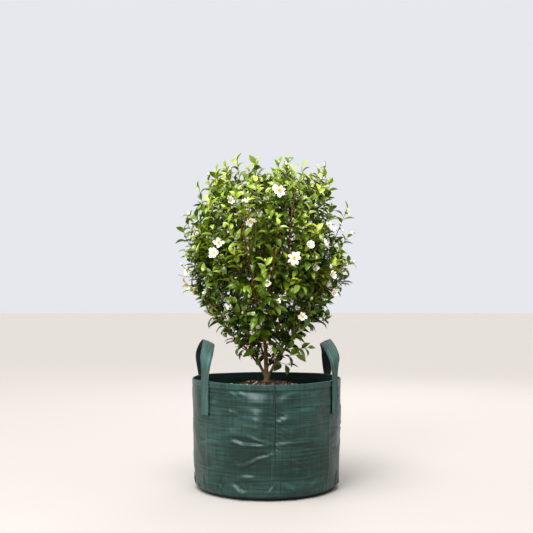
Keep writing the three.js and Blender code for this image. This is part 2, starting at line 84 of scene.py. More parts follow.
# Open flowers in front: where they are, the side and slope that they face, how far shut, and their size.
FRONT_BLOOMS = np.array([
    (0.085, 0.753, -85, 5, 0.15, 1.05), (-0.152, 0.802, -68, 8, 0.45, 0.82),
    (-0.164, 0.770, -112, 12, 0.62, 0.92), (0.040, 0.968, -95, -15, 0.45, 0.95),
    (-0.118, 0.938, -38, 10, 0.55, 0.85), (-0.050, 0.868, -60, -40, 0.60, 0.85),
    (0.183, 0.800, 0, 25, 0.60, 0.85), (0.133, 0.790, -60, 25, 1.00, 0.85),
    (0.206, 0.846, -40, 40, 0.95, 0.80), (0.208, 0.704, -45, 10, 0.70, 0.85),
    (0.218, 0.652, -60, -20, 0.80, 0.72), (0.112, 0.572, -70, -10, 0.60, 0.75),
])
BLOOM_EVERY = 7  # away from the front, one twig in so many blooms
# Half-open flowers that show in front: where they are, and their size.
FRONT_BUDS = np.array([
    (0.135, 0.860, 0.70), (0.171, 0.697, 0.75), (-0.222, 0.611, 0.65), (-0.145, 0.571, 0.60),
    (-0.157, 0.743, 0.45), (-0.148, 0.733, 0.45), (0.011, 0.828, 0.55), (0.026, 0.835, 0.50),
    (0.107, 0.822, 0.65), (-0.064, 0.930, 0.70), (-0.054, 0.917, 0.60), (-0.018, 0.899, 0.45),
    (0.0, 0.938, 0.55), (0.107, 0.945, 0.55), (0.164, 0.910, 0.60), (-0.092, 0.852, 0.50),
    (-0.190, 0.640, 0.65), (0.222, 0.650, 0.75), (-0.110, 0.920, 0.75), (0.190, 0.850, 0.75),
    (-0.262, 0.672, 0.70), (0.108, 0.590, 0.70), (0.205, 0.725, 0.70), (-0.036, 0.600, 0.45),
    (0.030, 0.640, 0.45), (0.017, 0.555, 0.50), (0.070, 0.612, 0.55), (-0.047, 0.548, 0.42),
    (-0.235, 0.613, 0.55),
])
# Stems that show between the leaves in front: three points on each.
FRONT_STEMS = np.array([
    ((-0.030, -0.095, 0.580), (-0.048, -0.190, 0.740), (-0.098, -0.195, 0.930)),
    ((0.011, -0.110, 0.630), (0.018, -0.190, 0.700), (0.032, -0.225, 0.790)),
    ((0.064, -0.140, 0.720), (0.070, -0.200, 0.850), (0.095, -0.175, 0.985)),
    ((0.120, -0.110, 0.610), (0.200, -0.120, 0.690), (0.275, -0.070, 0.755)),
    ((-0.120, -0.090, 0.560), (-0.205, -0.080, 0.620), (-0.280, -0.045, 0.690)),
])
# Long shoots that stand out of the crown's outline, and low ones round its foot: where they end.
LONG_SHOOTS = np.array([
    (-0.099, -0.080, 1.101), (-0.038, -0.080, 1.092), (-0.167, -0.070, 1.064), (0.041, -0.080, 1.080),
    (0.118, -0.080, 1.072), (0.194, -0.060, 1.070), (0.276, -0.020, 0.939), (-0.229, -0.040, 1.010),
    (0.283, -0.030, 0.847), (0.290, -0.020, 0.750), (-0.259, -0.030, 0.911), (-0.263, -0.030, 0.844),
    (-0.300, -0.020, 0.711), (-0.276, -0.040, 0.793), (0.075, -0.040, 0.410), (-0.085, -0.050, 0.440),
    (-0.060, 0.120, 1.085), (0.080, 0.110, 1.090), (0.150, 0.180, 1.020), (-0.180, 0.130, 1.040),
    (-0.120, 0.260, 0.930), (0.170, 0.250, 0.880), (0.010, 0.300, 0.800), (-0.250, 0.170, 0.820),
    (0.250, 0.150, 0.740), (-0.060, 0.310, 0.690), (0.140, -0.050, 0.465), (0.115, -0.090, 0.445),
    (-0.105, -0.060, 0.470), (-0.095, -0.090, 0.505), (0.020, -0.110, 0.470), (-0.040, 0.090, 0.450),
])
CELL_MARGIN = 0.001  # how far each foliage mass keeps off its neighbours' space


# Settings


def metres(name, description, default):
    """A setting that is a length."""
    return FloatProperty(name=name, description=description, default=default, unit="LENGTH")


def ratio(name, description, default):
    """A setting without a unit."""
    return FloatProperty(name=name, description=description, default=default, subtype="FACTOR")


def degrees(name, description, default):
    """A setting that is an angle, with its default in degrees."""
    return FloatProperty(name=name, description=description, default=math.radians(default), subtype="ANGLE")


def paint(name, description, default):
    """A setting that is a colour."""
    return FloatVectorProperty(name=name, description=description, default=default, subtype="COLOR")


class BagSettings(bpy.types.PropertyGroup):
    height: metres("Height", "Height of the rim", 0.361)
    rim_radius: metres("Rim radius", "Radius at the rim", 0.250)
    foot_radius: metres("Foot radius", "Radius above the foot", 0.241)
    belly: metres("Belly", "How far the wall bulges", 0.002)
    corner: metres("Corner", "Radius of the foot's corner", 0.030)
    hem: metres("Hem", "Depth of the hem", 0.018)
    hem_step: metres("Hem step", "Thickness that the hem adds", 0.0009)
    wall: metres("Wall", "Thickness of the cloth", 0.0014)
    strap_lift: metres("Lift", "How far the straps lift the rim", 0.0035)
    seam: degrees("Seam", "Where the front seam runs", 276.2)
    folds: ratio("Folds", "Strength of the folds", 1.3)
    cloth: paint("Cloth", "Colour of the woven cloth", (0.008, 0.027, 0.020))
    sheen: paint("Worn cloth", "Colour of its paler streaks", (0.035, 0.086, 0.073))
    webbing: paint("Webbing", "Colour of the straps", (0.042, 0.092, 0.078))
    thread: paint("Thread", "Colour of the stitches", (0.090, 0.150, 0.130))


class StrapSettings(bpy.types.PropertyGroup):
    width: metres("Width", "Width of the webbing", 0.041)
    thickness: metres("Thickness", "Thickness of the webbing", 0.0026)
    tail: metres("Tail", "How far the tails reach down", 0.106)
    rise: metres("Rise", "Height of the arch over the rim", 0.122)
    lean: metres("Lean", "How far the arch leans inwards", 0.018)
    tilt: degrees("Tilt", "Tilt of the webbing", 20)


class MixSettings(bpy.types.PropertyGroup):
    edge: metres("Edge", "Height at the wall", 0.305)
    peak: metres("Peak", "Height at the trunk", 0.347)
    seat: metres("Seat", "Flat radius round the trunk", 0.030)
    fall: FloatProperty(name="Fall", description="Power of the mound's fall to the wall", default=1.1)
    chips: IntProperty(name="Chips", description="Number of bark chips", default=1500)
    chip: metres("Chip size", "Mean length of a chip", 0.013)
    soil: paint("Mix", "Colour of the mix", (0.040, 0.022, 0.013))


class LimbSettings(bpy.types.PropertyGroup):
    fork: metres("Fork", "Height of the trunk's tip", 0.505)
    lean: metres("Lean", "How far the trunk leans", 0.003)
    flare: metres("Flare", "Radius of the root flare", 0.0135)
    radius: metres("Radius", "Radius of the trunk", 0.0078)
    tip: metres("Tip", "Radius of the trunk's tip", 0.0058)
    relief: ratio("Relief", "Depth of the bark's relief", 0.09)
    bark: paint("Bark", "Colour of the old bark", (0.170, 0.108, 0.046))
    young: paint("Young bark", "Colour of the young bark", (0.230, 0.090, 0.034))
    shoot: paint("Green shoot", "Colour of this year's shoots", (0.250, 0.150, 0.055))


class FoliageSettings(bpy.types.PropertyGroup):
    leaf_length: metres("Leaf length", "Length of a leaf", 0.0400)
    leaf_width: ratio("Leaf width", "Width over length", 0.52)
    spacing: metres("Spacing", "Way from leaf to leaf", 0.0122)
    shoots: IntProperty(name="Side shoots", description="Side shoots on a twig", default=4)
    deep: paint("Deep green", "Colour of the oldest leaves", (0.011, 0.032, 0.0012))
    tender: paint("Tender green", "Colour of the newest leaves", (0.360, 0.432, 0.028))


class BlossomSettings(bpy.types.PropertyGroup):
    radius: metres("Radius", "Radius of an open flower", 0.026)
    petals: IntProperty(name="Petals", description="Petals of a flower", default=7)
    half_open: ratio("Half open", "Share of the shoots with a half-open flower", 0.03)
    buds: ratio("Buds", "Share of the shoots with a bud", 0.20)
    petal: paint("Petal", "Colour of the petals", (0.95, 0.95, 0.92))
    stamen: paint("Stamens", "Colour of the stamens", (0.95, 0.76, 0.26))
    bud: paint("Bud", "Colour of the buds", (0.72, 0.72, 0.48))


class StageSettings(bpy.types.PropertyGroup):
    eye: FloatVectorProperty(
        name="Camera", description="Where the camera stands", default=(0.0, -2.83, 0.608),
        subtype="TRANSLATION",
    )
    pitch: degrees("Pitch", "How far it looks up", 2.65)
    lens: FloatProperty(name="Lens", description="Focal length in millimetres", default=56.06)
    floor: paint("Floor", "Colour of the floor", (0.400, 0.360, 0.325))


# Vectors, curves and meshes as whole arrays


def chance(*keys):
    """A number from 0 to 1 that depends only on whole-number keys or arrays of them: each is mixed into a
    32-bit hash by two multiplications and two shifts, as in the part's source."""
    low = np.uint64(0xFFFFFFFF)
    state = np.uint64(SEED)
    for key in keys:
        offset = (np.asarray(key).astype(np.uint64) + np.uint64(0x7F4A7C15)) & low
        state = ((state ^ offset) * np.uint64(0x9E3779B1)) & low
        state = state ^ (state >> np.uint64(15))
        state = (state * np.uint64(0x85EBCA6B)) & low
        state = state ^ (state >> np.uint64(13))
    return state / 2.0**32


def unit(vectors):
    """Vectors divided by their lengths."""
    return vectors / np.linalg.norm(vectors, axis=-1, keepdims=True)


def around(radius, angle, height):
    """Points at a radius, angle and height: radius times the angle's cosine and sine, and the height."""
    return np.stack(np.broadcast_arrays(radius * np.cos(angle), radius * np.sin(angle), height), axis=-1)


def even_angles(count):
    """Angles all round, evenly apart."""
    return np.arange(count) * TAU / count


def sideways(points):
    """The angle round the plant at which points lie."""
    return np.arctan2(points[..., 1], points[..., 0])


def level_beside(ways):
    """Unit vectors square to ways and nearly level."""
    return unit(np.stack([-ways[:, 1], ways[:, 0], np.full(len(ways), 0.001)], axis=-1))


def dot(a, b):
    """Scalar products along the last axis, kept as an axis."""
    return np.sum(a * b, axis=-1, keepdims=True)


def turned(vectors, axis, angle):
    """Vectors turned about unit axes (Rodrigues): v cos + (axis x v) sin + axis (axis . v)(1 - cos)."""
    cos, sin = np.cos(angle)[..., None], np.sin(angle)[..., None]
    return vectors * cos + np.cross(axis, vectors) * sin + axis * dot(axis, vectors) * (1 - cos)


def bernstein(degree, shares):
    """The weights of a Bezier curve's points: the binomial coefficient times t^i (1 - t)^(degree - i)."""
    powers = range(degree + 1)
    return np.stack([math.comb(degree, i) * shares**i * (1 - shares) ** (degree - i) for i in powers])


def for_each(shares, curves):
    """Shares for each of the curves: the same ones for all, unless they are given curve by curve."""
    return np.broadcast_to(shares, (len(curves), np.shape(shares)[-1]))


def bezier(controls, shares):
    """Points on Bezier curves (n, k, 3) at shares (s) or (n, s): controls summed by Bernstein weights."""
    weights = bernstein(controls.shape[1] - 1, for_each(shares, controls))
    return np.einsum("kns,nkd->nsd", weights, controls)


def bezier_tangent(controls, shares):
    """Directions along Bezier curves: the curve of the differences of the control points, made unit."""
    return unit(bezier(np.diff(controls, axis=1), shares))


def ease(value):
    """0 up to 0, 1 from 1, and 3 x^2 - 2 x^3 in between."""
    share = np.clip(value, 0, 1)
    return share * share * (3 - 2 * share)


def strip_faces(rows, columns, closed):
    """The quads of a grid, numbered row by row. A closed grid joins its last column to its first."""
    start = np.arange(columns if closed else columns - 1)
    after = (start + 1) % columns
    quad = np.stack([start, after, after + columns, start + columns], axis=-1)
    return (quad[None] + (np.arange(rows - 1) * columns)[:, None, None]).reshape(-1, 4)


def repeated(faces, count, stride):
    """The faces of one shape for each of a row of copies, whose points are numbered stride apart."""
    return (faces[None] + (np.arange(count) * stride)[:, None, None]).reshape(-1, faces.shape[1])


def end_faces(rows, columns):
    """The two faces that close a tube of rows by columns of points."""
    return np.stack([np.arange(columns)[::-1], np.arange(columns) + (rows - 1) * columns])


def copies(faces, points):
    """The faces of one shape for copies of it, whose points are (n, k, 3)."""
    return [repeated(faces, len(points), points.shape[1])]


def in_basis(origin, x, y, z, first, second, third):
    """Points (n, k, 3) from coordinates (n, k) along three directions (n, 3) at each origin (n, 3)."""
    points = origin[:, None] + x[..., None] * first[:, None] + y[..., None] * second[:, None]
    return points + z[..., None] * third[:, None]


def add_piece(context, name, points, faces, material, slot=None, replaced=(), sharp=None, **layers):
    """A mesh object from an array of points and arrays of faces, which may have different numbers of
    corners. Layers are values at the points: one number each for an attribute, two for a UV map."""
    mesh = bpy.data.meshes.new(name)
    points = np.asarray(points, np.float32).reshape(-1, 3)
    sizes = np.concatenate([np.full(len(group), group.shape[1]) for group in faces])
    corners = np.concatenate([group.ravel() for group in faces]).astype(np.int32)
    mesh.vertices.add(len(points))
    mesh.vertices.foreach_set("co", points.ravel())
    mesh.loops.add(len(corners))
    mesh.loops.foreach_set("vertex_index", corners)
    mesh.polygons.add(len(sizes))
    mesh.polygons.foreach_set("loop_start", (np.cumsum(sizes) - sizes).astype(np.int32))
    mesh.update(calc_edges=True)
    for label, values in layers.items():
        values = np.asarray(values, np.float32)
        if values.ndim == 2:
            mesh.uv_layers.new(name=label).uv.foreach_set("vector", values[corners].ravel())
        else:
            mesh.attributes.new(label, "FLOAT", "POINT").data.foreach_set("value", values)
    mesh.polygons.foreach_set("use_smooth", np.ones(len(sizes), bool))
    if sharp is not None:
        mesh.set_sharp_from_angle(angle=sharp)
    mesh.materials.append(material)
    piece = bpy.data.objects.new(name, mesh)
    context.collection.objects.link(piece)
    if slot:
        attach(piece, "root")
    if replaced:
        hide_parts(*replaced)
    return piece


def wheel(across, over, sides):
    """Spokes all round in the planes of pairs of directions (..., 3): across cos a + over sin a."""
    angle = even_angles(sides)[:, None]
    return across[..., None, :] * np.cos(angle) + over[..., None, :] * np.sin(angle)


def tubes(path, tangent, radius, sides):
    """Round sections along paths (n, k, 3): centre + radius (across cos a + over sin a), where across is
    square to the path and to X or Y, and over to the path and across. Returns points, quads and ends."""
    count, steps = path.shape[:2]
    chord = np.abs(path[:, -1] - path[:, 0])
    flattest = np.where(chord[:, :1] < chord[:, 1:2], [[1.0, 0, 0]], [[0, 1.0, 0]])[:, None]
    across = unit(np.cross(flattest, tangent))
    points = path[:, :, None] + wheel(across, np.cross(tangent, across), sides) * radius[..., None]
    quads = repeated(strip_faces(steps, sides, True), count, steps * sides)
    return points, quads, repeated(end_faces(steps, sides), count, steps * sides)


# Materials


class Signal:
    """A node's output in a Python expression, where each operator adds a Math node."""

    def __init__(self, finish, socket):
        self.finish = finish
        self.socket = socket

    def math(self, operation, *values):
        return self.finish.node("ShaderNodeMath", {"operation": operation}, dict(enumerate(values)))

    def __add__(self, other):
        return self.math("ADD", self, other)

    def __sub__(self, other):
        return self.math("SUBTRACT", self, other)

    def __rsub__(self, other):
        return self.math("SUBTRACT", other, self)

    def __mul__(self, other):
        return self.math("MULTIPLY", self, other)

    __radd__ = __add__
    __rmul__ = __mul__

    def sine(self):
        return self.math("SINE", self)

    def absolute(self):
        return self.math("ABSOLUTE", self)

    def between(self, low, high):
        """0 below low, 1 above high and a smooth step in between."""
        values = {"Value": self, "From Min": low, "From Max": high}
        return self.finish.node("ShaderNodeMapRange", {"interpolation_type": "SMOOTHSTEP"}, values)


class Finish:
    """A procedural material while it is being made."""

    def __init__(self, name, roughness=0.6, specular=0.5):
        self.material = bpy.data.materials.new(name)
        self.material.use_nodes = True
        self.tree = self.material.node_tree
        self.shader = self.tree.nodes["Principled BSDF"]
        self.set("Roughness", roughness)
        self.set("Specular IOR Level", specular)

    def node(self, kind, settings=None, values=None, output=0):
        """Adds a node of a type. Its settings are set first, then each input gets its value or its link."""
        node = self.tree.nodes.new(kind)
        for key, value in (settings or {}).items():
            if key == "stops":
                self.set_stops(node.color_ramp, value)
            else:
                setattr(node, key, value)
        for key, value in (values or {}).items():
            self.feed(node.inputs[key], value)
        return Signal(self, node.outputs[output])

    def set_stops(self, ramp, stops):
        while len(ramp.elements) < len(stops):
            ramp.elements.new(0.5)
        for element, (position, colour) in zip(ramp.elements, stops):
            element.position = position
            element.color = (*colour, 1)

    def feed(self, socket, value):
        if isinstance(value, Signal):
            self.tree.links.new(value.socket, socket)
        elif socket.type == "RGBA" and len(value) == 3:
            socket.default_value = (*value, 1)
        else:
            socket.default_value = value

    def set(self, key, value):
        self.feed(self.shader.inputs[key], value)

    def stretched(self, vector, scale):
        return self.node("ShaderNodeMapping", {"vector_type": "POINT"}, {"Vector": vector, "Scale": scale})

    def place(self, scale=(1, 1, 1)):
        """The place on the object, stretched by a scale for each axis."""
        return self.stretched(self.node("ShaderNodeTexCoord", output="Object"), scale)

    def map(self, label, scale=(1, 1, 1)):
        """The place on a piece's own UV map, stretched."""
        return self.stretched(self.node("ShaderNodeUVMap", {"uv_map": label}), scale)

    def attribute(self, label):
        return self.node("ShaderNodeAttribute", {"attribute_name": label}, output="Fac")

    def split(self, vector, axis):
        return self.node("ShaderNodeSeparateXYZ", None, {"Vector": vector}, output=axis)

    def noise(self, vector, scale, detail=3.0, roughness=0.5):
        values = {"Vector": vector, "Scale": scale, "Detail": detail, "Roughness": roughness}
        return self.node("ShaderNodeTexNoise", None, values)

    def cells(self, vector, scale):
        return self.node("ShaderNodeTexVoronoi", None, {"Vector": vector, "Scale": scale}, output="Distance")

    def blend(self, share, first, second):
        """One colour turning into another as share goes from 0 to 1."""
        return self.node("ShaderNodeMix", {"data_type": "RGBA"}, {0: share, 6: first, 7: second}, output=2)

    def ramp(self, value, *stops):
        return self.node("ShaderNodeValToRGB", {"stops": stops}, {"Fac": value})

    def bump(self, height, distance):
        """Lets a height in 0 to 1 stand out of the surface by a distance in metres."""
        values = {"Height": height, "Distance": distance, "Strength": 1.0}
        self.set("Normal", self.node("ShaderNodeBump", None, values))


def shaded(colour, factor):
    """A colour made darker or paler by a factor, at most white."""
    return tuple(min(1.0, channel * factor) for channel in colour)


TAPE_PITCH = 0.0030  # from tape to tape of the woven cloth
PICK_PITCH = 0.0016  # from pick to pick along the webbing
END_PITCH = 0.0030  # from end to end across the webbing
RIB_PITCH = 0.0083  # from rib to rib across the webbing
DRAWN_LINE = (0.002, 0.006, 0.005)  # the dark of a seam
FOOT_SHADE = (0.003, 0.006, 0.005)  # the painted shade along the foot


def cloth_finish(bag, foot_climb, hem_climb, rim_climb):
    """Woven tape cloth, laminated and half glossy: fine crossing tapes, paler streaks along the weft, scuffs,
    a paler hem, dark lines at the seams and under the hem, a painted highlight along the rim's top edge,
    painted shade along the foot, and a darker lining."""
    finish = Finish("woven_cloth", roughness=0.4, specular=0.42)
    place = finish.map("cloth")
    along, up = finish.split(place, "X"), finish.split(place, "Y")
    streaks = finish.noise(finish.map("cloth", (7, 150, 1)), 1.0, 4.0, 0.6)
    warp = finish.noise(finish.map("cloth", (120, 9, 1)), 1.0, 3.0, 0.6)
    blotches = finish.noise(finish.map("cloth", (9, 9, 1)), 1.0, 3.0)
    scuffs = finish.noise(finish.map("cloth", (40, 90, 1)), 1.0, 5.0, 0.65)
    tapes = (up * (TAU / TAPE_PITCH)).sine() * 0.5 + (along * (TAU / TAPE_PITCH)).sine() * 0.3
    worn = (streaks * 0.48 + warp * 0.20 + blotches * 0.32).between(0.41, 0.62)
    colour = finish.blend(worn * 0.75, bag.cloth, bag.sheen)
    colour = finish.blend(scuffs.between(0.58, 0.8) * 0.35, colour, shaded(bag.sheen, 1.7))
    hem = up.between(hem_climb - 0.001, hem_climb + 0.001) * (0.04 + 0.22 * warp.between(0.40, 0.62))
    colour = finish.blend(hem, colour, shaded(bag.sheen, 1.5))
    girth = TAU * bag.foot_radius
    outside = 1 - up.between(rim_climb, rim_climb + 0.001)
    hard_drawn = (0.15 + 0.55 * up.between(foot_climb + 0.12, foot_climb + 0.19)) * outside
    for line, strength in ((along - bag.seam / TAU * girth, hard_drawn), (up - (hem_climb - 0.0015), 0.45)):
        drawn = (1 - line.absolute().between(0.0008, 0.0022)) * strength
        colour = finish.blend(drawn, colour, DRAWN_LINE)
    # Painted shade: a dark band with a ragged edge along the foot, where the corner turns under towards the
    # floor.
    foot_shade = 1 - (up - 0.018 * blotches).between(foot_climb + 0.010, foot_climb + 0.022)
    colour = finish.blend(foot_shade * 0.85, colour, FOOT_SHADE)
    lining = up.between(rim_climb + 0.002, rim_climb + 0.006)
    # Painted highlight: a thin pale line along the rim's top edge, where it catches the light.
    rim_highlight = up.between(rim_climb - 0.0022, rim_climb - 0.0008) * (1 - lining)
    colour = finish.blend(rim_highlight * 0.5, colour, shaded(bag.sheen, 3.0))
    finish.set("Base Color", finish.blend(lining, colour, bag.cloth))
    finish.set("Roughness", 0.20 + 0.16 * streaks + 0.12 * scuffs + 0.2 * lining)
    finish.bump(streaks * 0.75 + tapes * 0.10 + scuffs * 0.2, 0.0014)
    return finish.material


def webbing_finish(bag):
    """Strap webbing: ribs along it, fine picks across, dust, painted shadow along the stitch rows near its
    edges, and painted shade on its inner face.
    """
    finish = Finish("strap_webbing", roughness=0.5, specular=0.5)
    place = finish.map("webbing")
    across, along = finish.split(place, "X"), finish.split(place, "Y")
    picks = (along * (TAU / PICK_PITCH)).sine() * (across * (TAU / END_PITCH)).sine()
    ribs = (across * (TAU / RIB_PITCH)).sine()
    dust = finish.noise(finish.map("webbing", (110, 14, 1)), 1.0, 4.0, 0.6)
    colour = finish.blend(dust.between(0.42, 0.66) * 0.8, bag.webbing, shaded(bag.webbing, 2.3))
    colour = finish.blend(picks * 0.18 + ribs * 0.18 + 0.20, colour, shaded(bag.webbing, 0.35))
    edge = across.absolute()
    # Painted shadow: dark lines along the rows of stitches near both edges, where the webbing is pressed in.
    seam = edge.between(0.0150, 0.0158) * (1 - edge.between(0.0170, 0.0178))
    colour = finish.blend(seam * 0.7, colour, shaded(bag.webbing, 0.25))
    # Painted shade: the strap's inner face, which turns away from the light, is made nearly black.
    inner = finish.attribute("inner") * 0.85
    finish.set("Base Color", finish.blend(inner, colour, shaded(bag.webbing, 0.12)))
    finish.set("Roughness", 0.38 + 0.25 * dust)
    finish.bump(picks * 0.5 + dust * 0.4, 0.0006)
    return finish.material


def thread_finish(bag):
    """Sewing thread with the twist of its plies."""
    finish = Finish("sewing_thread", roughness=0.7)
    twist = finish.noise(finish.place(), 900.0, 2.0)
    finish.set("Base Color", finish.blend(twist, bag.thread, shaded(bag.thread, 1.6)))
    return finish.material


def mix_finish(mix):
    """Dark potting mix: crumbs of different browns, and damp patches."""
    finish = Finish("potting_mix", roughness=0.9, specular=0.3)
    place = finish.place()
    crumbs = finish.cells(place, 260.0)
    damp = finish.noise(place, 14.0, 3.0)
    colour = finish.blend(damp.between(0.4, 0.65), shaded(mix.soil, 0.6), shaded(mix.soil, 1.4))
    finish.set("Base Color", finish.blend(crumbs.between(0.25, 0.6) * 0.5, colour, shaded(mix.soil, 3.0)))
    finish.bump(crumbs, 0.004)
    return finish.material


def chip_finish():
    """Bark chips, from dark and reddish brown to pale cream: each has its own tint, and a grain."""
    finish = Finish("bark_chips", roughness=0.8, specular=0.3)
    grain = finish.noise(finish.place(), 260.0, 4.0, 0.6)
    tint = finish.ramp(
        finish.attribute("tint"), (0.0, (0.050, 0.022, 0.014)), (0.35, (0.120, 0.048, 0.026)),
        (0.6, (0.210, 0.095, 0.055)), (0.8, (0.420, 0.270, 0.160)), (1.0, (0.760, 0.620, 0.440)),
    )
    finish.set("Base Color", finish.blend(grain.between(0.5, 0.75) * 0.6, tint, (0.07, 0.035, 0.02)))
    finish.bump(grain, 0.002)
    return finish.material


def bark_finish(limbs):
    """Bark: light brown and cracked on old wood, smoother and redder on young wood, green at the tips."""
    finish = Finish("bark", roughness=0.7, specular=0.35)
    place = finish.place((1, 1, 0.3))
    cracks = finish.noise(place, 420.0, 4.0, 0.6)
    lichen = finish.noise(finish.place(), 55.0, 3.0)
    youth = finish.attribute("youth")
    old = finish.blend(lichen.between(0.45, 0.65), limbs.bark, (0.21, 0.17, 0.075))
    colour = finish.blend(youth.between(0.15, 0.6), old, limbs.young)
    colour = finish.blend(youth.between(0.75, 1.0), colour, limbs.shoot)
    finish.set("Base Color", finish.blend(cracks.between(0.5, 0.72) * 0.75, colour, shaded(limbs.bark, 0.28)))
    finish.bump(1 - cracks, 0.0012)
    return finish.material


def shoot_finish(name, colour):
    """Thin wood in one colour with small lenticels."""
    finish = Finish(name, roughness=0.55, specular=0.4)
    specks = finish.noise(finish.place(), 500.0, 2.0)
    speckled = specks.between(0.52, 0.7) * 0.4
    finish.set("Base Color", finish.blend(speckled, colour, shaded(colour, 0.5)))
    return finish.material


def leaf_finish(name, colour, roughness):
    """A leaf's skin: one plain colour, waxy, with a thin clear coat."""
    finish = Finish(name, roughness, specular=0.42)
    finish.set("Base Color", colour)
    finish.set("Coat Weight", 0.22)
    finish.set("Coat Roughness", 0.12)
    return finish.material


def petal_finish(blossom):
    """White petals, softly matt, with faint veins."""
    finish = Finish("petals", roughness=0.55, specular=0.3)
    veins = finish.noise(finish.place(), 350.0, 3.0)
    finish.set("Base Color", finish.blend(veins * 0.3, blossom.petal, (0.88, 0.87, 0.80)))
    return finish.material


def mottled_finish(name, colour, darker, roughness):
    """One colour with fine darker mottling."""
    finish = Finish(name, roughness=roughness, specular=0.35)
    mottle = finish.noise(finish.place(), 420.0, 3.0)
    finish.set("Base Color", finish.blend(mottle.between(0.4, 0.7), colour, shaded(colour, darker)))
    return finish.material


# The planter bag

# Folds of the front: way along the cloth from the seam and height at both ends, half width and depth.
FRONT_FOLDS = [
    (-0.136, 0.183, -0.100, 0.174, 0.0045, 0.0040), (-0.104, 0.173, -0.003, 0.175, 0.0042, 0.0046),
    (-0.082, 0.200, -0.004, 0.178, 0.0040, 0.0040), (0.004, 0.175, 0.090, 0.181, 0.0045, 0.0046),
    (0.080, 0.180, 0.148, 0.184, 0.0040, 0.0030), (-0.106, 0.104, -0.050, 0.133, 0.0034, 0.0028),
    (-0.056, 0.131, -0.004, 0.145, 0.0036, 0.0034), (0.043, 0.132, 0.104, 0.097, 0.0034, 0.0034),
    (-0.110, 0.075, -0.062, 0.073, 0.0045, 0.0026), (-0.136, 0.047, -0.094, 0.020, 0.0045, 0.0042),
    (0.009, 0.303, 0.066, 0.334, 0.0100, 0.0040), (-0.090, 0.322, -0.004, 0.302, 0.0130, 0.0050),
    (0.006, 0.246, 0.037, 0.257, 0.0050, 0.0030), (-0.034, 0.222, -0.004, 0.221, 0.0045, 0.0026),
    (-0.034, 0.158, -0.004, 0.157, 0.0032, 0.0026), (-0.028, 0.149, -0.004, 0.149, 0.0030, 0.0022),
    (-0.186, 0.345, -0.164, 0.330, 0.0040, 0.0022), (-0.150, 0.340, -0.118, 0.322, 0.0045, 0.0026),
    (-0.118, 0.338, -0.092, 0.326, 0.0040, 0.0024), (0.096, 0.338, 0.106, 0.322, 0.0040, 0.0024),
    (0.106, 0.322, 0.136, 0.322, 0.0040, 0.0022), (0.136, 0.322, 0.150, 0.340, 0.0040, 0.0022),
    (-0.080, 0.250, -0.012, 0.247, 0.0080, 0.0016), (0.010, 0.214, 0.088, 0.220, 0.0070, 0.0018),
    (0.022, 0.052, 0.074, 0.028, 0.0050, 0.0030), (-0.020, 0.048, -0.006, 0.018, 0.0050, 0.0026),
    (0.110, 0.040, 0.168, 0.058, 0.0060, 0.0028),
]
PLEATS = [-0.236, -0.141, 0.201]  # long upright creases left from folding the bag flat
# Bulges where the mix presses the cloth out below the hem: way along the cloth, half width, depth.
BULGES = [
    (-0.050, 0.038, 0.0190), (0.042, 0.030, 0.0150), (-0.150, 0.030, 0.0040), (0.130, 0.030, 0.0050),
    (0.300, 0.080, 0.0015), (-0.310, 0.080, 0.0015), (0.480, 0.070, 0.0065), (-0.480, 0.060, 0.0060),
    (0.640, 0.060, 0.0070), (-0.640, 0.060, 0.0060),
]
# Slow waves of the wall: turns round the bag, the height over which each slants once round, and its phase.
WAVES = [(3, 0.9, 0.4), (7, 0.31, 2.1), (11, -0.42, 4.0), (16, 0.17, 1.2), (5, -0.11, 3.3)]
WAVE_DEPTH = 0.0007
PLEAT_DEPTH, PLEAT_WIDTH = 0.0012, 0.004
FOLD_WIDENING = 1.45  # how much softer the folds of the front are than they look in the photograph
DEEPEST_HOLLOW = 0.007
LINING_INSET = 0.012  # keeps the hidden lining clear of the folds outside
FOOT_FOLDS = 34
BACK_FOLDS = 46
RIPPLES = 90
BAG_COLUMNS = 392
BAG_ROWS = 96
HEM_STITCHES = 300
STITCH_PITCH = 0.005
PUCKER_PITCH, PUCKER_DEPTH = 0.0155, 0.0013


def bag_radius(bag, z):
    """The wall's outer radius at a height: foot to rim in a line, plus a sine for the belly, and below the
    corner's height less a quarter circle."""
    share = np.clip((z - bag.corner) / (bag.height - bag.corner), 0, 1)
    wall = bag.foot_radius + (bag.rim_radius - bag.foot_radius) * share + bag.belly * np.sin(np.pi * share)
    drop = np.clip((bag.corner - z) / bag.corner, 0, 1)
    return wall - bag.corner * (1 - np.sqrt(1 - drop * drop))


def strap_legs():
    """The angles at which the straps' legs stand."""
    return [math.radians(strap[side]) for strap in STRAPS.values() for side in ("front", "back")]


def rim_lift(bag, angle, z):
    """How far the straps pull the wall up: a bell of the angle from each leg, growing with the square of
    the height above 0.6 of the wall."""
    pull = sum(np.exp((np.cos(angle - leg) - 1) * 12) for leg in strap_legs())
    share = np.maximum(0, z / bag.height - 0.6) / 0.4
    return bag.strap_lift * pull * share * share


def crease(arc, z, start_arc, start_z, end_arc, end_z, width, depth):
    """A crease along a line on the cloth: a bell across it, a shallower hollow above, and soft ends."""
    run = np.array([end_arc - start_arc, end_z - start_z])
    length = np.hypot(*run)
    way = run / length
    ahead = (arc - start_arc) * way[0] + (z - start_z) * way[1]
    beside = ((z - start_z) * way[0] - (arc - start_arc) * way[1]) / width
    if way[0] < 0:
        beside = -beside
    over = np.maximum(0, np.abs(ahead - length / 2) - length / 2) / width
    fade = np.clip(np.minimum(ahead, length - ahead) / (0.35 * length), 0, 1) ** 0.5
    bell = np.exp(-beside * beside) - 0.6 * np.exp(-(((beside - 1.6) / 1.4) ** 2))
    return depth * bell * np.exp(-over * over) * (0.25 + 0.75 * fade)


def side_calm(arc, girth):
    """A share of 1 that a bell lowers to 0.12 at the two sides, a quarter of the girth from the seam."""
    beside = np.abs(np.abs(arc - girth / 2) - girth / 4)
    return 1 - 0.88 * np.exp(-((beside / 0.10) ** 2))


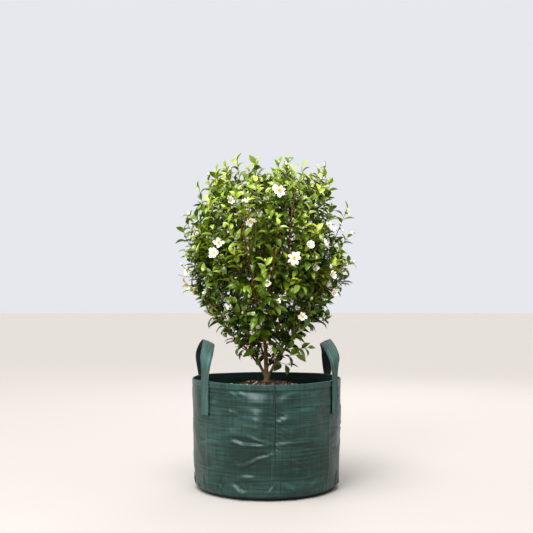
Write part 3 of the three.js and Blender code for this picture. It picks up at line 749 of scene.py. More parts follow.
def seeded_folds(bag):
    """Folds that nobody measured: short slanting ones round the foot, longer ones on the sides and back,
    and small level ripples all round."""
    girth = TAU * bag.foot_radius
    number = np.arange(FOOT_FOLDS)
    arc = girth * (number + 0.8 * chance(number, 31)) / FOOT_FOLDS
    lean = (chance(number, 32) - 0.5) * 0.09
    foot = np.stack([
        arc, 0.010 + 0.012 * chance(number, 33), arc + lean, 0.030 + 0.034 * chance(number, 34),
        0.0035 + 0.003 * chance(number, 35), 0.0016 + 0.002 * chance(number, 36),
    ], axis=-1)
    number = np.arange(BACK_FOLDS)
    arc = 0.19 + (girth - 0.42) * chance(number, 41)
    z = 0.07 + 0.25 * chance(number, 42)
    length = 0.03 + 0.09 * chance(number, 43)
    slope = (chance(number, 44) - 0.5) * 0.7
    back = np.stack([
        arc, z, arc + length, np.clip(z + slope * length, 0.06, 0.33),
        0.0048 + 0.004 * chance(number, 45),
        side_calm(arc, girth) * (0.0010 + 0.0018 * chance(number, 46)),
    ], axis=-1)
    number = np.arange(RIPPLES)
    arc = girth * (number + chance(number, 47)) / RIPPLES
    z = 0.08 + 0.24 * chance(number, 48)
    length = 0.02 + 0.04 * chance(number, 49)
    slope = (chance(number, 50) - 0.5) * 0.5
    ripples = np.stack([
        arc, z, arc + length, z + slope * length, 0.005 + 0.004 * chance(number, 61),
        side_calm(arc, girth) * (0.001 + 0.0014 * chance(number, 62)),
    ], axis=-1)
    return np.concatenate([foot, back, ripples])


def bag_relief(bag, angle, z):
    """How far the cloth stands out: waves, folds, bulges, pleats, puckers beside the seam and both seams'
    overlaps, held flat under the straps, at the hem and at the foot. A tanh limits the hollows."""
    girth = TAU * bag.foot_radius
    arc = ((angle - bag.seam + np.pi) % TAU - np.pi) * bag.foot_radius
    wrapped = np.where(arc < 0, arc + girth, arc)
    waves = sum(WAVE_DEPTH * np.sin(turns * angle + TAU * z / pitch + phase) for turns, pitch, phase in WAVES)
    folds = sum(crease(arc, z, *fold[:4], FOLD_WIDENING * fold[4], fold[5]) for fold in FRONT_FOLDS)
    for fold in seeded_folds(bag):
        folds = folds + crease(arc if fold[0] < girth / 2 else wrapped, z, *fold)
    pleats = sum(PLEAT_DEPTH * np.exp(-(((arc - line) / PLEAT_WIDTH) ** 2)) for line in PLEATS)
    slant = z + 0.10 * np.abs(arc)
    pucker = np.sin(TAU * slant / PUCKER_PITCH + 9 * np.sin(arc * 23)) * np.exp(-np.abs(arc) / 0.048)
    pucker = PUCKER_DEPTH * pucker * ease((z - 0.13) / 0.05) * (1 - ease((z - 0.27) / 0.04))
    near = [np.abs((angle - leg + np.pi) % TAU - np.pi) * bag.foot_radius for leg in strap_legs()]
    beside = 1 - ease((z - 0.19) / 0.04) * sum(np.exp(-((gap / 0.030) ** 4)) for gap in near)
    held = np.clip(beside, 0, 1) * ease(z / 0.02) * (1 - ease((z - bag.height + bag.hem + 0.012) / 0.012))
    drop = np.clip((bag.height - bag.hem - z) / 0.088, 0, 1)
    press = (drop + ease(drop)) / 2 * (1 - ease((0.265 - z) / 0.16))
    bulges = press * sum(depth * np.exp(-(((arc - line) / width) ** 2)) for line, width, depth in BULGES)
    relief = held * (waves + pleats + pucker + bag.folds * folds + bulges)
    relief = np.where(relief < 0, DEEPEST_HOLLOW * np.tanh(relief / DEEPEST_HOLLOW), relief)
    for seam_arc in (arc, np.abs(arc) - girth / 2):
        overlap = ease((seam_arc + 0.012) / 0.004) * (1 - ease((seam_arc + 0.0015) / 0.003))
        pinch = 0.0035 * np.exp(-((seam_arc / 0.009) ** 2) - ((z - 0.172) / 0.022) ** 2)
        groove = 0.0010 * np.exp(-((seam_arc / 0.0030) ** 2))
        relief = relief + ease(z / 0.03) * (0.0008 * overlap - pinch - groove)
    return relief


def bag_points(bag, angle, z, offset=0.0):
    """Points on the bag's outside, or a way off it: profile plus relief, lifted near the straps."""
    return around(bag_radius(bag, z) + bag_relief(bag, angle, z) + offset, angle, z + rim_lift(bag, angle, z))


def bag_angles(bag):
    """Angles round the bag, closer together at the two seams."""
    near = np.linspace(-0.018, 0.018, 19) / bag.foot_radius
    seams = [(seam + near) % TAU for seam in (bag.seam, bag.seam + np.pi)]
    return np.unique(np.round(np.concatenate([even_angles(BAG_COLUMNS), *seams]), 5))


def build_bag(context, bag):
    """The bag's shell as one closed surface: floor, corner, wall, hem, rim, inner wall and inner floor."""
    angle = bag_angles(bag)
    top, hem_foot = bag.height, bag.height - bag.hem
    corner = bag.corner * (1 - np.cos(np.linspace(0, 1, 9) * np.pi / 2))
    wall = np.linspace(bag.corner, hem_foot - 0.0012, BAG_ROWS)[1:]
    outer = [(z, 0.0) for z in [*corner, *wall]]
    step = bag.hem_step
    hem = [(hem_foot, step * 0.7), (hem_foot + 0.0008, step), (hem_foot + 0.006, step * 0.8)]
    hem += [(top - 0.006, step * 0.9), (top - 0.002, step), (top - 0.0005, step * 0.7), (top, step * 0.1)]
    inside = [(top, -bag.wall * 0.6), (top - 0.001, -bag.wall - step)]
    inside += [(z, -bag.wall - step * 0.5) for z in np.linspace(top - 0.006, 0.285, 20)]
    rows = [bag_points(bag, angle, np.full_like(angle, z), offset) for z, offset in outer + hem + inside]
    rows += [around(bag_radius(bag, z) - LINING_INSET, angle, z) for z in (0.27, 0.1, bag.corner)]
    floor = [rows[0] * [share, share, 1] for share in (0.3, 0.75)]
    lining = [rows[-1] * [share, share, 0] + [0, 0, bag.wall] for share in (0.86, 0.3)]
    grid = np.stack([*floor, *rows, *lining])
    count = len(angle)
    gaps = np.linalg.norm(np.diff(grid, axis=0), axis=-1).mean(axis=1)
    climb = np.append(0, np.cumsum(gaps))
    cloth = np.stack(np.broadcast_arrays(angle * bag.foot_radius, climb[:, None]), axis=-1).reshape(-1, 2)
    faces = [strip_faces(len(grid), count, True), end_faces(len(grid), count)]
    first_hem = len(floor) + len(outer)
    finish = cloth_finish(bag, climb[len(floor)], climb[first_hem], climb[first_hem + len(hem)])
    sharp = math.radians(50)
    add_piece(context, "planter_bag_shell", grid, faces, finish, "bag", ["planter_bag"], sharp, cloth=cloth)


def stitches(points, way, normal, length, width):
    """Stitches at points: each an eight-faced spindle along its way, that stands out along the normal."""
    across = np.cross(normal, way)
    corners = np.array([(-1, 0, 0), (0, -1, 0), (0, 0, 1), (0, 1, 0), (0, 0, -1), (1, 0, 0)], float)
    size = np.array([length / 2, width / 2, width / 2])
    basis = np.stack([way, across, normal], axis=1)
    shape = points[:, None] + np.einsum("vk,nkd->nvd", corners * size, basis)
    ring = np.array([1, 2, 3, 4])
    after = np.roll(ring, -1)
    faces = np.concatenate([np.stack([ring * 0, after, ring], -1), np.stack([ring * 0 + 5, ring, after], -1)])
    return shape.reshape(-1, 3), repeated(faces, len(points), 6)


def joined(parts):
    """Several (points, faces) as one, with the faces renumbered."""
    offsets = np.cumsum([0] + [len(points) for points, _ in parts[:-1]])
    points = np.concatenate([points for points, _ in parts])
    return points, np.concatenate([faces + offset for (_, faces), offset in zip(parts, offsets)])


def bag_stitches(bag):
    """The bag's stitches: two rows round the hem and a row up each side of both seams."""
    parts = []
    for height in (bag.height - bag.hem + 0.0035, bag.height - 0.004):
        angle = even_angles(HEM_STITCHES)
        points = bag_points(bag, angle, np.full_like(angle, height), bag.hem_step)
        way = around(1, angle + np.pi / 2, 0)
        parts.append(stitches(points, way, around(1, angle, 0), 0.0036, 0.0009))
    for seam in (bag.seam, bag.seam + np.pi):
        for beside in (-0.0095, -0.0035):
            z = np.arange(0.035, bag.height - 0.004, STITCH_PITCH)
            angle = np.full_like(z, seam + beside / bag.foot_radius)
            points = bag_points(bag, angle, z, 0.0001)
            way = np.broadcast_to([0.0, 0.0, 1.0], points.shape)
            parts.append(stitches(points, way, around(1, angle, 0), 0.0034, 0.0009))
    return parts


# The straps


def catmull_rom(points, shares):
    """A centripetal Catmull-Rom curve through points: on each span a cubic whose end slopes come from the
    gaps to the neighbours, with each gap's square root as the knot distance. The ends are mirrored on."""
    points = np.concatenate([[2 * points[0] - points[1]], points, [2 * points[-1] - points[-2]]])
    spans = len(points) - 3
    place = np.clip(shares, 0, 1) * spans
    span = np.minimum(place.astype(int), spans - 1)
    t = (place - span)[:, None]
    before, start, end, after = (points[span + i] for i in range(4))
    pairs = ((before, start), (start, end), (end, after))
    gap_before, gap, gap_after = (np.linalg.norm(b - a, axis=1, keepdims=True) ** 0.5 for a, b in pairs)
    leaving = (start - before) / gap_before - (end - before) / (gap_before + gap) + (end - start) / gap
    arriving = (end - start) / gap - (after - start) / (gap + gap_after) + (after - end) / gap_after
    leaving, arriving = leaving * gap, arriving * gap
    square, cube = 3 * (end - start) - 2 * leaving - arriving, 2 * (start - end) + leaving + arriving
    return start + leaving * t + square * t**2 + cube * t**3


def strap_frames(bag, strap, side, shares):
    """The strap's middle line at shares of its length, with the directions across it and out of it. It runs
    up the front leg, over the arch and down the back leg. Across turns a quarter of its way on the front
    leg and the rest behind the top, and tilts as the strap rises."""
    form = STRAPS[side]
    front, back = math.radians(form["front"]), math.radians(form["back"])
    middle = (front + back) / 2
    stand_off = bag.rim_radius + bag.hem_step + 0.0003 + strap.thickness / 2

    def leg(angle, bow):
        heights = [bag.height + rise for rise in (-strap.tail, -bag.hem, 0.008, strap.rise * 0.6)]
        outs = (0, 0, 0.0005, bow)
        return [around(stand_off + out, angle, height) for out, height in zip(outs, heights)]

    top = around(stand_off * math.cos((front - back) / 2) - strap.lean, middle, bag.height + strap.rise)
    knots = np.array([*leg(front, form["bow"][0]), top, *leg(back, form["bow"][1])[::-1]])
    centre = catmull_rom(knots, shares)
    along = unit(catmull_rom(knots, shares + 1e-4) - catmull_rom(knots, shares - 1e-4))
    turned_by = 0.25 * ease((shares - 0.25) / 0.17) + 0.75 * ease((shares - 0.50) / 0.29)
    half_turn = math.copysign(math.pi, back - front)
    angle = front + half_turn / 2 + (back - front - half_turn) * turned_by
    tilt = strap.tilt * ease((centre[:, 2] - bag.height) / (strap.rise * 0.95))
    across = around(np.cos(tilt), angle, np.sin(tilt))
    across = unit(across - along * dot(across, along))
    return centre, along, across, np.cross(along, across)


STRAP_ROWS = 240
STRAP_COLUMNS = 49


def build_strap(context, bag, strap, side):
    """A strap: a flat ribbed section carried along its path. The ribs are a sine across each face, and
    where the strap is free its middle bows out by a parabola."""
    shares = np.linspace(0, 1, STRAP_ROWS)
    centre, _, across, out = strap_frames(bag, strap, side, shares)
    columns = np.linspace(-1, 1, STRAP_COLUMNS)
    half = strap.thickness / 2
    edge = np.sqrt(np.clip(1 - np.abs(columns) ** 14, 0, 1))
    rib = edge * half * 0.82 + half * 0.16 * np.sin(columns * np.pi * 10) * edge
    section = np.stack([np.append(columns, columns[::-1][1:-1]), np.append(rib, -rib[::-1][1:-1])], axis=-1)
    width = strap.width / 2 * (1 - 0.05 * np.exp(-((np.minimum(shares, 1 - shares) / 0.012) ** 2)))
    points = centre[:, None] + across[:, None] * (section[:, 0] * width[:, None])[..., None]
    free = ease((centre[:, 2:] - bag.height - 0.01) / 0.05)
    outer = np.sign(dot(out[9], centre[9] * [1, 1, 0]))
    camber = 0.0022 * free * (1 - section[:, 0] ** 2) * outer
    points = points + out[:, None] * (section[:, 1] + camber)[..., None]
    # Marks the inner face, which the webbing's finish darkens as painted shade.
    inner = np.tile(ease(0.5 - section[:, 1] * outer / half), len(shares))
    length = np.append(0, np.cumsum(np.linalg.norm(np.diff(centre, axis=0), axis=1)))
    sheet = np.broadcast_arrays(section[:, 0] * strap.width / 2, length[:, None])
    webbing = np.stack(sheet, axis=-1).reshape(-1, 2)
    faces = [strip_faces(STRAP_ROWS, len(section), True), end_faces(STRAP_ROWS, len(section))]
    add_piece(
        context, f"strap_{side}", points, faces, webbing_finish(bag), "strap", [f"handle_{side}"],
        webbing=webbing, inner=inner,
    )


def strap_stitches(bag, strap, side):
    """Rows of stitches on a strap's tails: along both edges, twice across the end, once at the hem."""
    parts = []
    for leg_share in (0.0, 1.0):
        near = np.abs(leg_share - np.linspace(0.004, 0.17, 28))
        centre, along, across, out = strap_frames(bag, strap, side, near)
        outside = out * np.sign(dot(out, centre * [1, 1, 0]))
        kept = centre[:, 2] < bag.height - 0.002
        for beside in (-0.42, 0.42):
            points = centre + across * beside * strap.width + outside * strap.thickness * 0.5
            parts.append(stitches(points[kept], along[kept], outside[kept], 0.0038, 0.0010))
        for share in (0.006, 0.026, 0.142):
            row = strap_frames(bag, strap, side, np.full(10, abs(leg_share - share)))
            beside = np.linspace(-0.38, 0.38, 10)[:, None]
            outside = row[3] * np.sign(dot(row[3], row[0] * [1, 1, 0]))
            points = row[0] + row[2] * beside * strap.width + outside * strap.thickness * 0.5
            parts.append(stitches(points, row[2], outside, 0.0036, 0.0010))
    return parts


# The potting mix

MIX_INSET = 0.016  # keeps its hidden sides clear of the cloth's folds
MIX_COLUMNS = 180
MIX_ROWS = 64


def mix_height(mix, rim_radius, radius):
    """The mix's height at a radius: a flat seat for the trunk, then a fall to the wall by a power."""
    share = np.maximum(0, radius - mix.seat) / (rim_radius - mix.seat)
    return mix.edge + (mix.peak - mix.edge) * (1 - share**mix.fall)


def build_mix(context, bag, mix):
    """The mix's closed body: the mound's height plus three sizes of lumps as products of sines."""
    angle = even_angles(MIX_COLUMNS)
    heights = np.linspace(mix.edge - 0.02, mix.edge, 6)[:, None]
    edge = np.min(bag_radius(bag, heights) + bag_relief(bag, angle[None], heights), axis=0) - 2 * bag.wall
    share, turn = np.meshgrid(np.linspace(1, 0.04, MIX_ROWS), angle, indexing="ij")
    spread = share * edge
    x, y = spread * np.cos(turn), spread * np.sin(turn)
    lumps = 0.0016 * np.sin(x * 210 + 1.3) * np.sin(y * 190)
    lumps = lumps + 0.0012 * np.sin(x * 430 + y * 120) * np.sin(y * 390 + 2)
    lumps = (lumps + 0.0007 * np.sin(x * 900 + 1) * np.sin(y * 840)) * ease((edge - spread) / 0.012)
    lumps = lumps * ease((spread - 0.012) / 0.02)
    top = np.stack([x, y, mix_height(mix, bag.rim_radius, spread) + lumps], axis=-1)
    foot = [
        around(bag.foot_radius - bag.corner - 0.003, angle, 0.0027),
        around(bag.foot_radius - MIX_INSET, angle, bag.corner + 0.010),
        around(bag_radius(bag, mix.edge) - MIX_INSET, angle, mix.edge - 0.02),
    ]
    grid = np.concatenate([np.stack(foot), top])
    faces = [strip_faces(len(grid), MIX_COLUMNS, True), end_faces(len(grid), MIX_COLUMNS)]
    add_piece(context, "potting_mix_body", grid, faces, mix_finish(mix), "mix", ["potting_mix"])


def build_chips(context, bag, mix):
    """Bark chips strewn over the mix: boxes that lie at small angles, each corner moved by chance."""
    number = np.arange(mix.chips)
    radius = 0.024 + (bag.rim_radius - 0.036) * np.sqrt(chance(number, 51))
    angle = number * GOLDEN_ANGLE
    ground = mix_height(mix, bag.rim_radius, radius)
    spot = around(radius, angle, ground + 0.0015 + 0.003 * chance(number, 52))
    spin, tip = chance(number, 53) * TAU, (chance(number, 54) - 0.5) * 0.9
    along = around(np.cos(tip), spin, np.sin(tip))
    across = around(1, spin + np.pi / 2, (chance(number, 55) - 0.5) * 0.7)
    across = unit(across - along * dot(across, along))
    length = mix.chip * (0.45 + 1.1 * chance(number, 56) ** 2)
    width, thickness = 0.4 + 0.35 * chance(number, 57), 0.16 + 0.2 * chance(number, 58)
    size = np.stack([length, length * width, length * thickness], axis=-1)
    signs = np.array([(x, y, z) for z in (-1, 1) for y in (-1, 1) for x in (-1, 1)], float)
    corner, side = np.arange(8)[None, :, None], np.arange(3)[None, None]
    jitter = 1 - 0.5 * chance(number[:, None, None], corner, side + 60)
    corners = signs * jitter * size[:, None] / 2
    basis = np.stack([along, across, np.cross(along, across)], axis=1)
    points = spot[:, None] + np.einsum("nvk,nkd->nvd", corners, basis)
    box = np.array([(0, 2, 3, 1), (4, 5, 7, 6), (0, 1, 5, 4), (2, 6, 7, 3), (0, 4, 6, 2), (1, 3, 7, 5)])
    tint = np.repeat(chance(number, 59) ** 1.3, 8)
    faces, sharp = copies(box, points), math.radians(30)
    add_piece(context, "bark_mulch", points, faces, chip_finish(), "mix", sharp=sharp, tint=tint)


# How the plant grows, as in the part's source, carried on to finer shoots


def crown_radius(z):
    """The crown's outline: radius (1 - away^p)^(1/p), where away is 0 at the belly, 1 at foot and top."""
    above = z > CROWN["belly"]
    span = np.where(above, CROWN["top"] - CROWN["belly"], CROWN["belly"] - CROWN["foot"])
    power = np.where(above, CROWN["squareness"], CROWN["taper"])
    away = np.minimum(1, np.abs(z - CROWN["belly"]) / span)
    return CROWN["radius"] * (1 - away**power) ** (1 / power)


def even_heights(count):
    """The middle heights of bands of equal area, from the outline's area summed over 200 slices."""
    edges = np.linspace(CROWN["foot"], CROWN["top"], 201)
    radii = crown_radius(edges)
    area = np.cumsum(np.append(0, (radii[1:] + radii[:-1]) * np.hypot(np.diff(radii), np.diff(edges))))
    return np.interp(area[-1] * (np.arange(count) + 0.5) / count, area, edges)


def twig_tips():
    """Where the twigs end: spirals over the outline, drawn in towards the crown's middle, and the front's
    blooms. Returns the points and whether each ends in a flower."""
    middle = np.array([0, 0, CROWN["middle"]])
    tips, blooms = [], []
    for index, shell in enumerate(SHELLS):
        number = np.arange(shell["tips"])
        z = even_heights(shell["tips"])
        reach = shell["scale"] + shell["ragged"] * (chance(index, number, 1) - 0.6)
        tip = middle + (around(crown_radius(z), number * GOLDEN_ANGLE + index, z) - middle) * reach[:, None]
        tips.append(tip)
        blooms.append((index == 0) & (tip[:, 1] > -0.06) & (number % BLOOM_EVERY == 3))
    x, z = FRONT_BLOOMS[:, :2].T
    depth = np.sqrt(np.maximum(0, (0.97 * crown_radius(z)) ** 2 - x * x))
    tips.append(np.stack([x, -depth, z], axis=-1))
    blooms.append(np.ones(len(x), bool))
    return np.concatenate(tips), np.concatenate(blooms)


def limb_controls(start, end, angle, ring):
    """A limb's cubic Bezier curve, which leaves its parent and arrives at the ring's two angles."""
    reach = np.linalg.norm(end - start)
    tilt, finish = math.radians(ring["tilt"]), math.radians(ring["finish"])
    leaving = around(math.sin(tilt), angle, math.cos(tilt))
    arriving = around(math.sin(finish), angle, math.cos(finish))
    return np.stack([start, start + leaving * reach * 0.36, end - arriving * reach * 0.34, end])


def trunk_controls(limbs, mix):
    """The trunk's cubic Bezier curve: upright at the foot, a slight lean, and back at the fork."""
    foot = mix.peak + 0.0003
    heights = (foot, mix.peak + 0.040, limbs.fork - 0.050, limbs.fork)
    return np.array([[x, 0.0, z] for x, z in zip((0, 0, -2 * limbs.lean, 0), heights)])[None]


def own_space(points, centres, index):
    """Whether points lie in a mass's own space: by the margin on its side of each plane between centres."""
    apart = np.linalg.norm(centres - centres[index], axis=1)
    square = np.sum((points[..., None, :] - centres) ** 2, axis=-1)
    beyond = (square - square[..., index : index + 1]) / (2 * np.where(apart == 0, 1, apart))
    return np.all((beyond > CELL_MARGIN) | (apart == 0), axis=-1)


STEPS = 60  # steps along a limb when the place is sought where it enters its mass
SWAY, LIFT = 0.24, 0.034  # how unevenly the masses of a ring stand round it and in height


def lay_out_masses(limbs, mix):
    """The masses ring by ring, with centres, limb curves and the share where each limb enters its mass."""
    trunk = trunk_controls(limbs, mix)
    masses = []
    for ring_index, ring in enumerate(RINGS):
        many = ring["count"] > 1
        for i in range(ring["count"]):
            sway = (chance(ring_index, i, 2) - 0.5) * SWAY if many else 0.0
            lift = (chance(ring_index, i, 3) - 0.5) * LIFT if many else 0.0
            angle = math.radians(ring["turn"]) + TAU * i / ring["count"] + sway
            centre = around(ring["centre"][0], angle, ring["centre"][1] + lift * 0.4)
            end = around(ring["leader"][0], angle, ring["leader"][1] + lift)
            masses.append(dict(ring=ring, place=i, angle=angle, centre=centre, end=end))
    stems = [mass for mass in masses if mass["ring"]["name"] == "upper"]
    for index, mass in enumerate(masses):
        ring = mass["ring"]
        if "from_stem" in ring:
            parent = max(stems, key=lambda stem: math.cos(stem["angle"] - mass["angle"]))["controls"][None]
            share = ring["from_stem"] + 0.1 * chance(index, 4)
        else:
            parent = trunk
            share = ring["from_trunk"][mass["place"]]
        start = bezier(parent, [share])[0, 0]
        mass["controls"] = limb_controls(start, mass["end"], mass["angle"], ring)
    centres = np.stack([mass["centre"] for mass in masses])
    for index, mass in enumerate(masses):
        inside = own_space(bezier(mass["controls"][None], np.arange(STEPS) / STEPS)[0], centres, index)
        last = np.flatnonzero(~inside)
        mass["entry"] = max(((last[-1] if len(last) else 0) + 1) / STEPS, mass["ring"]["entry"])
    return masses, centres, trunk


PLACES = 12  # places on a leading shoot from which a twig may start
BRANCHING = 0.7  # the angle from a shoot at which twigs leave it
TWIG_REACH = 0.7  # metres of a twig that weigh as much as a radian


def twig_controls(mass, tips, keys):
    """Twigs as quadratic Bezier curves: each leaves its leading shoot where the climb to its tip is short
    and near the branching angle, and goes out before it goes up."""
    step = np.arange(PLACES) + chance(keys, 9)[:, None] * 0.8
    shares = mass["entry"] + (1 - mass["entry"]) * (0.04 + 0.86 * step / PLACES)
    path = np.repeat(mass["controls"][None], len(tips), axis=0)
    climb = tips[:, None] - bezier(path, shares)
    length = np.linalg.norm(climb, axis=-1)
    cosine = np.clip(dot(climb, bezier_tangent(path, shares))[..., 0] / length, -1, 1)
    best = np.argmin(np.abs(np.arccos(cosine) - BRANCHING) + length / TWIG_REACH, axis=1)
    chosen = climb[np.arange(len(tips)), best]
    start = tips - chosen
    return np.stack([start, start + chosen * [0.56, 0.56, 0.4], tips], axis=1)


def inside_crown(points, reach):
    """Whether points lie inside the crown's outline, drawn in or out by reach about its middle."""
    middle = np.array([0, 0, CROWN["middle"]])
    x, y, z = np.moveaxis(middle + (points - middle) / reach[..., None], -1, 0)
    turn = (sideways(points) / DRAWN_IN["half_angle"]) ** 2
    climb = ((points[..., 2] - DRAWN_IN["height"]) / DRAWN_IN["half_height"]) ** 2
    outline = (1 - DRAWN_IN["share"] * np.exp(-turn - climb)) * crown_radius(z)
    return (z > CROWN["foot"]) & (z < CROWN["top"]) & (np.hypot(x, y) < outline)


# Side shoots: angle from the parent, length, share of long ones, and reach of short and long ones. Pairs
# are the least value and the spread.
SHOOT_ANGLE = (0.62, 0.35)
SHOOT_LENGTH = (0.060, 0.060)
LONG_SHARE = 0.30
SHORT_REACH = (0.82, 0.10)
LONG_REACH = (0.96, 0.07)


def varied(measure, *keys):
    """A measure given as (least, spread), by chance."""
    least, spread = measure
    return least + spread * chance(*keys)


def side_shoots(controls, shares, keys):
    """Finer shoots from places on parent curves: each is turned on by the golden angle, bends up and
    outwards, and is shortened to end inside the crown. Returns curves, keys and whether they fit."""
    shares = for_each(shares, controls)
    count = shares.shape[1]
    start = bezier(controls, shares).reshape(-1, 3)
    along = bezier_tangent(controls, shares).reshape(-1, 3)
    keys = (keys[:, None] * 32 + np.arange(count)).ravel()
    number = np.tile(np.arange(count), len(controls))
    side = turned(level_beside(along), along, number * GOLDEN_ANGLE + keys * 0.37)
    at_tip = shares.ravel() > 0.995
    angle = np.where(at_tip, 0.12, varied(SHOOT_ANGLE, keys, 71))
    way = along * np.cos(angle)[:, None] + side * np.sin(angle)[:, None]
    outward = unit(start * [1, 1, 0] + 1e-6)
    long = (chance(keys, 75) < LONG_SHARE) & (start[:, 2] > 0.55)
    lift = np.clip((start[:, 2] - 0.40) / 0.55, 0.15, 1)[:, None]
    upward = np.where(long, 1.5, 1.1)[:, None] * lift
    rise = unit(way + outward * 0.35 * (1.15 - lift) + np.array([0, 0, 1.0]) * upward)
    length = varied(SHOOT_LENGTH, keys, 72) * np.where(long, 1.3, 1.0)
    reach = np.where(long, varied(LONG_REACH, keys, 73), varied(SHORT_REACH, keys, 73))
    fitted = np.zeros(len(start))
    for share in (0.35, 0.5, 0.65, 0.8, 1.0):
        tip = start + rise * (length * share)[:, None]
        fitted = np.where(inside_crown(tip, reach), share, fitted)
    tip = start + rise * (length * fitted)[:, None]
    bend = start + way * (length * fitted * 0.5)[:, None]
    return np.stack([start, bend, tip], axis=1), keys, fitted > 0


def long_shoots(places):
    """The long shoots of the table: each leaves the place on the twigs that is nearest to a point 0.1 m
    back from its end, and climbs more steeply the higher it is."""
    steep = np.clip((LONG_SHOOTS[:, 2:] - 0.55) / 0.5, 0.1, 1.0)
    outward = unit(LONG_SHOOTS * [1, 1, 0])
    way = unit(outward * (1.1 - steep) + np.array([0, 0, 1]) * steep)
    nearest = np.argmin(np.linalg.norm((LONG_SHOOTS - way * 0.10)[:, None] - places[None], axis=2), axis=1)
    start = places[nearest]
    length = np.linalg.norm(LONG_SHOOTS - start, axis=1, keepdims=True)
    return np.stack([start, LONG_SHOOTS - way * length * 0.5, LONG_SHOOTS], axis=1)


def joined_columns(rows):
    """The parts of several rows joined column by column."""
    return [np.concatenate(column) for column in zip(*rows)]


def grow(scene):
    """The whole plant's shoots as curves, with keys: leading shoots, twigs, side shoots, front stems."""
    masses, centres, trunk = lay_out_masses(scene.camellia_limbs, scene.camellia_mix)
    tips, blooms = twig_tips()
    numbers = np.arange(len(tips))
    own = [own_space(tips, centres, index) for index in range(len(masses))]
    twigs, twig_keys, twig_blooms = joined_columns(
        (twig_controls(mass, tips[near], numbers[near]), numbers[near], blooms[near])
        for mass, near in zip(masses, own) if near.any()
    )
    shoots = scene.camellia_foliage.shoots
    shares = 0.26 + 0.62 * (np.arange(shoots) + 0.5 * chance(twig_keys[:, None], 74)) / shoots
    shares = np.concatenate([shares, np.where(twig_blooms, 0.93, 1.0)[:, None]], axis=1)
    leaders = np.stack([mass["controls"] for mass in masses])
    entries = np.array([mass["entry"] for mass in masses])
    leader_keys = 1000 + np.arange(len(masses))
    within = entries[:, None] + (1 - entries[:, None]) * np.append(np.linspace(0.16, 0.92, 9), 1.0)
    below = np.minimum(entries[:, None], 0.5) * [0.28, 0.42, 0.56, 0.70, 0.84, 0.98]
    on_parent = np.linspace(0.3, 1, 12)
    places = np.concatenate([bezier(curves, on_parent).reshape(-1, 3) for curves in (twigs, leaders)])
    roots = places[np.argmin(np.linalg.norm(FRONT_STEMS[:, :1] - places[None], axis=2), axis=1)]
    stems = np.concatenate([roots[:, None], FRONT_STEMS], axis=1)
    stem_keys = 80000 + np.arange(len(stems))
    long = long_shoots(places)
    fine, fine_keys, fits = joined_columns([
        side_shoots(twigs, shares, twig_keys + 200),
        side_shoots(leaders, np.concatenate([within, below], axis=1), leader_keys),
        side_shoots(stems, np.linspace(0.4, 1, 8), stem_keys),
        (long, 90000 + np.arange(len(long)), np.ones(len(long), bool)),
    ])
    return dict(
        blooms=blooms, masses=masses, trunk=trunk, leaders=leaders, entries=entries, leader_keys=leader_keys,
        twigs=twigs, twig_keys=twig_keys, twig_blooms=twig_blooms, fine=fine[fits], fine_keys=fine_keys[fits],
        stems=stems, stem_keys=stem_keys,
    )


# Wood


def relief_of(angle, along, key):
    """Bark relief from -1 to 1: long ridges that wander round the limb, broken by short cracks across."""
    ridges = np.sin(angle * 5 + 2.2 * np.sin(along * 38 + key) + key) * 0.6
    fine = np.sin(angle * 9 - 3.0 * np.sin(along * 61 + 2 * key) + along * 40) * 0.4
    cracks = np.exp(-((np.sin(along * 170 + 2 * np.sin(angle * 2 + key)) / 0.22) ** 2)) * 0.7
    return ridges + fine - cracks


TRUNK_ROWS, TRUNK_SIDES = 46, 26
LIMB_ROWS, LIMB_SIDES = 64, 12


def build_limbs(context, plant, limbs, mix):
    """Trunk, stems and boughs out to the ends of their leading shoots: rings round each path, swollen at
    the root and where it leaves its parent, with the bark's relief across the surface."""
    share = np.linspace(0, 1, TRUNK_ROWS)
    radius = limbs.radius + (limbs.tip - limbs.radius) * share
    radius = radius + (limbs.flare - limbs.radius) * np.exp(-share * (limbs.fork - mix.peak) / 0.009)
    rods = [(plant["trunk"], share, radius, TRUNK_SIDES, np.zeros(TRUNK_ROWS))]
    share = np.linspace(0, 1, LIMB_ROWS)
    for mass, controls in zip(plant["masses"], plant["leaders"]):
        tip, base = mass["ring"]["tip"], mass["ring"]["base"]
        radius = tip + (base - tip) * (1 - share) ** 1.15
        radius = radius * (1 + 0.2 * np.exp(-share / 0.02)) * (1 - 0.62 * share**3)
        rods.append((controls[None], share, radius, LIMB_SIDES, share))
    parts, quads, ends, youth = [], [], [], []
    offset = 0
    for key, (controls, share, radius, sides, age) in enumerate(rods):
        path, tangent = bezier(controls, share), bezier_tangent(controls, share)
        angle = even_angles(sides)
        length = np.append(0, np.cumsum(np.linalg.norm(np.diff(path[0], axis=0), axis=1)))[:, None]
        swell = 1 + (limbs.relief * ease(radius / 0.006))[:, None] * relief_of(angle, length, key)
        if key == 0:
            swell = swell + 0.22 * np.exp(-length / 0.012) * np.sin(angle * 5 + 0.7)
        points, sheet, caps = tubes(path, tangent, (radius[:, None] * swell)[None], sides)
        parts.append(points.reshape(-1, 3))
        quads.append(sheet + offset)
        ends.append(caps + offset)
        youth.append(np.repeat(age, sides))
        offset += points.size // 3
    points, youth = np.concatenate(parts), np.concatenate(youth)
    points[:, 2] = np.maximum(points[:, 2], mix.peak + 0.0003)
    replaced = nodes_called("trunk", "stem_", "bough_")
    faces = [np.concatenate(quads), *ends]
    add_piece(context, "trunk_and_boughs", points, faces, bark_finish(limbs), "bark", replaced, youth=youth)


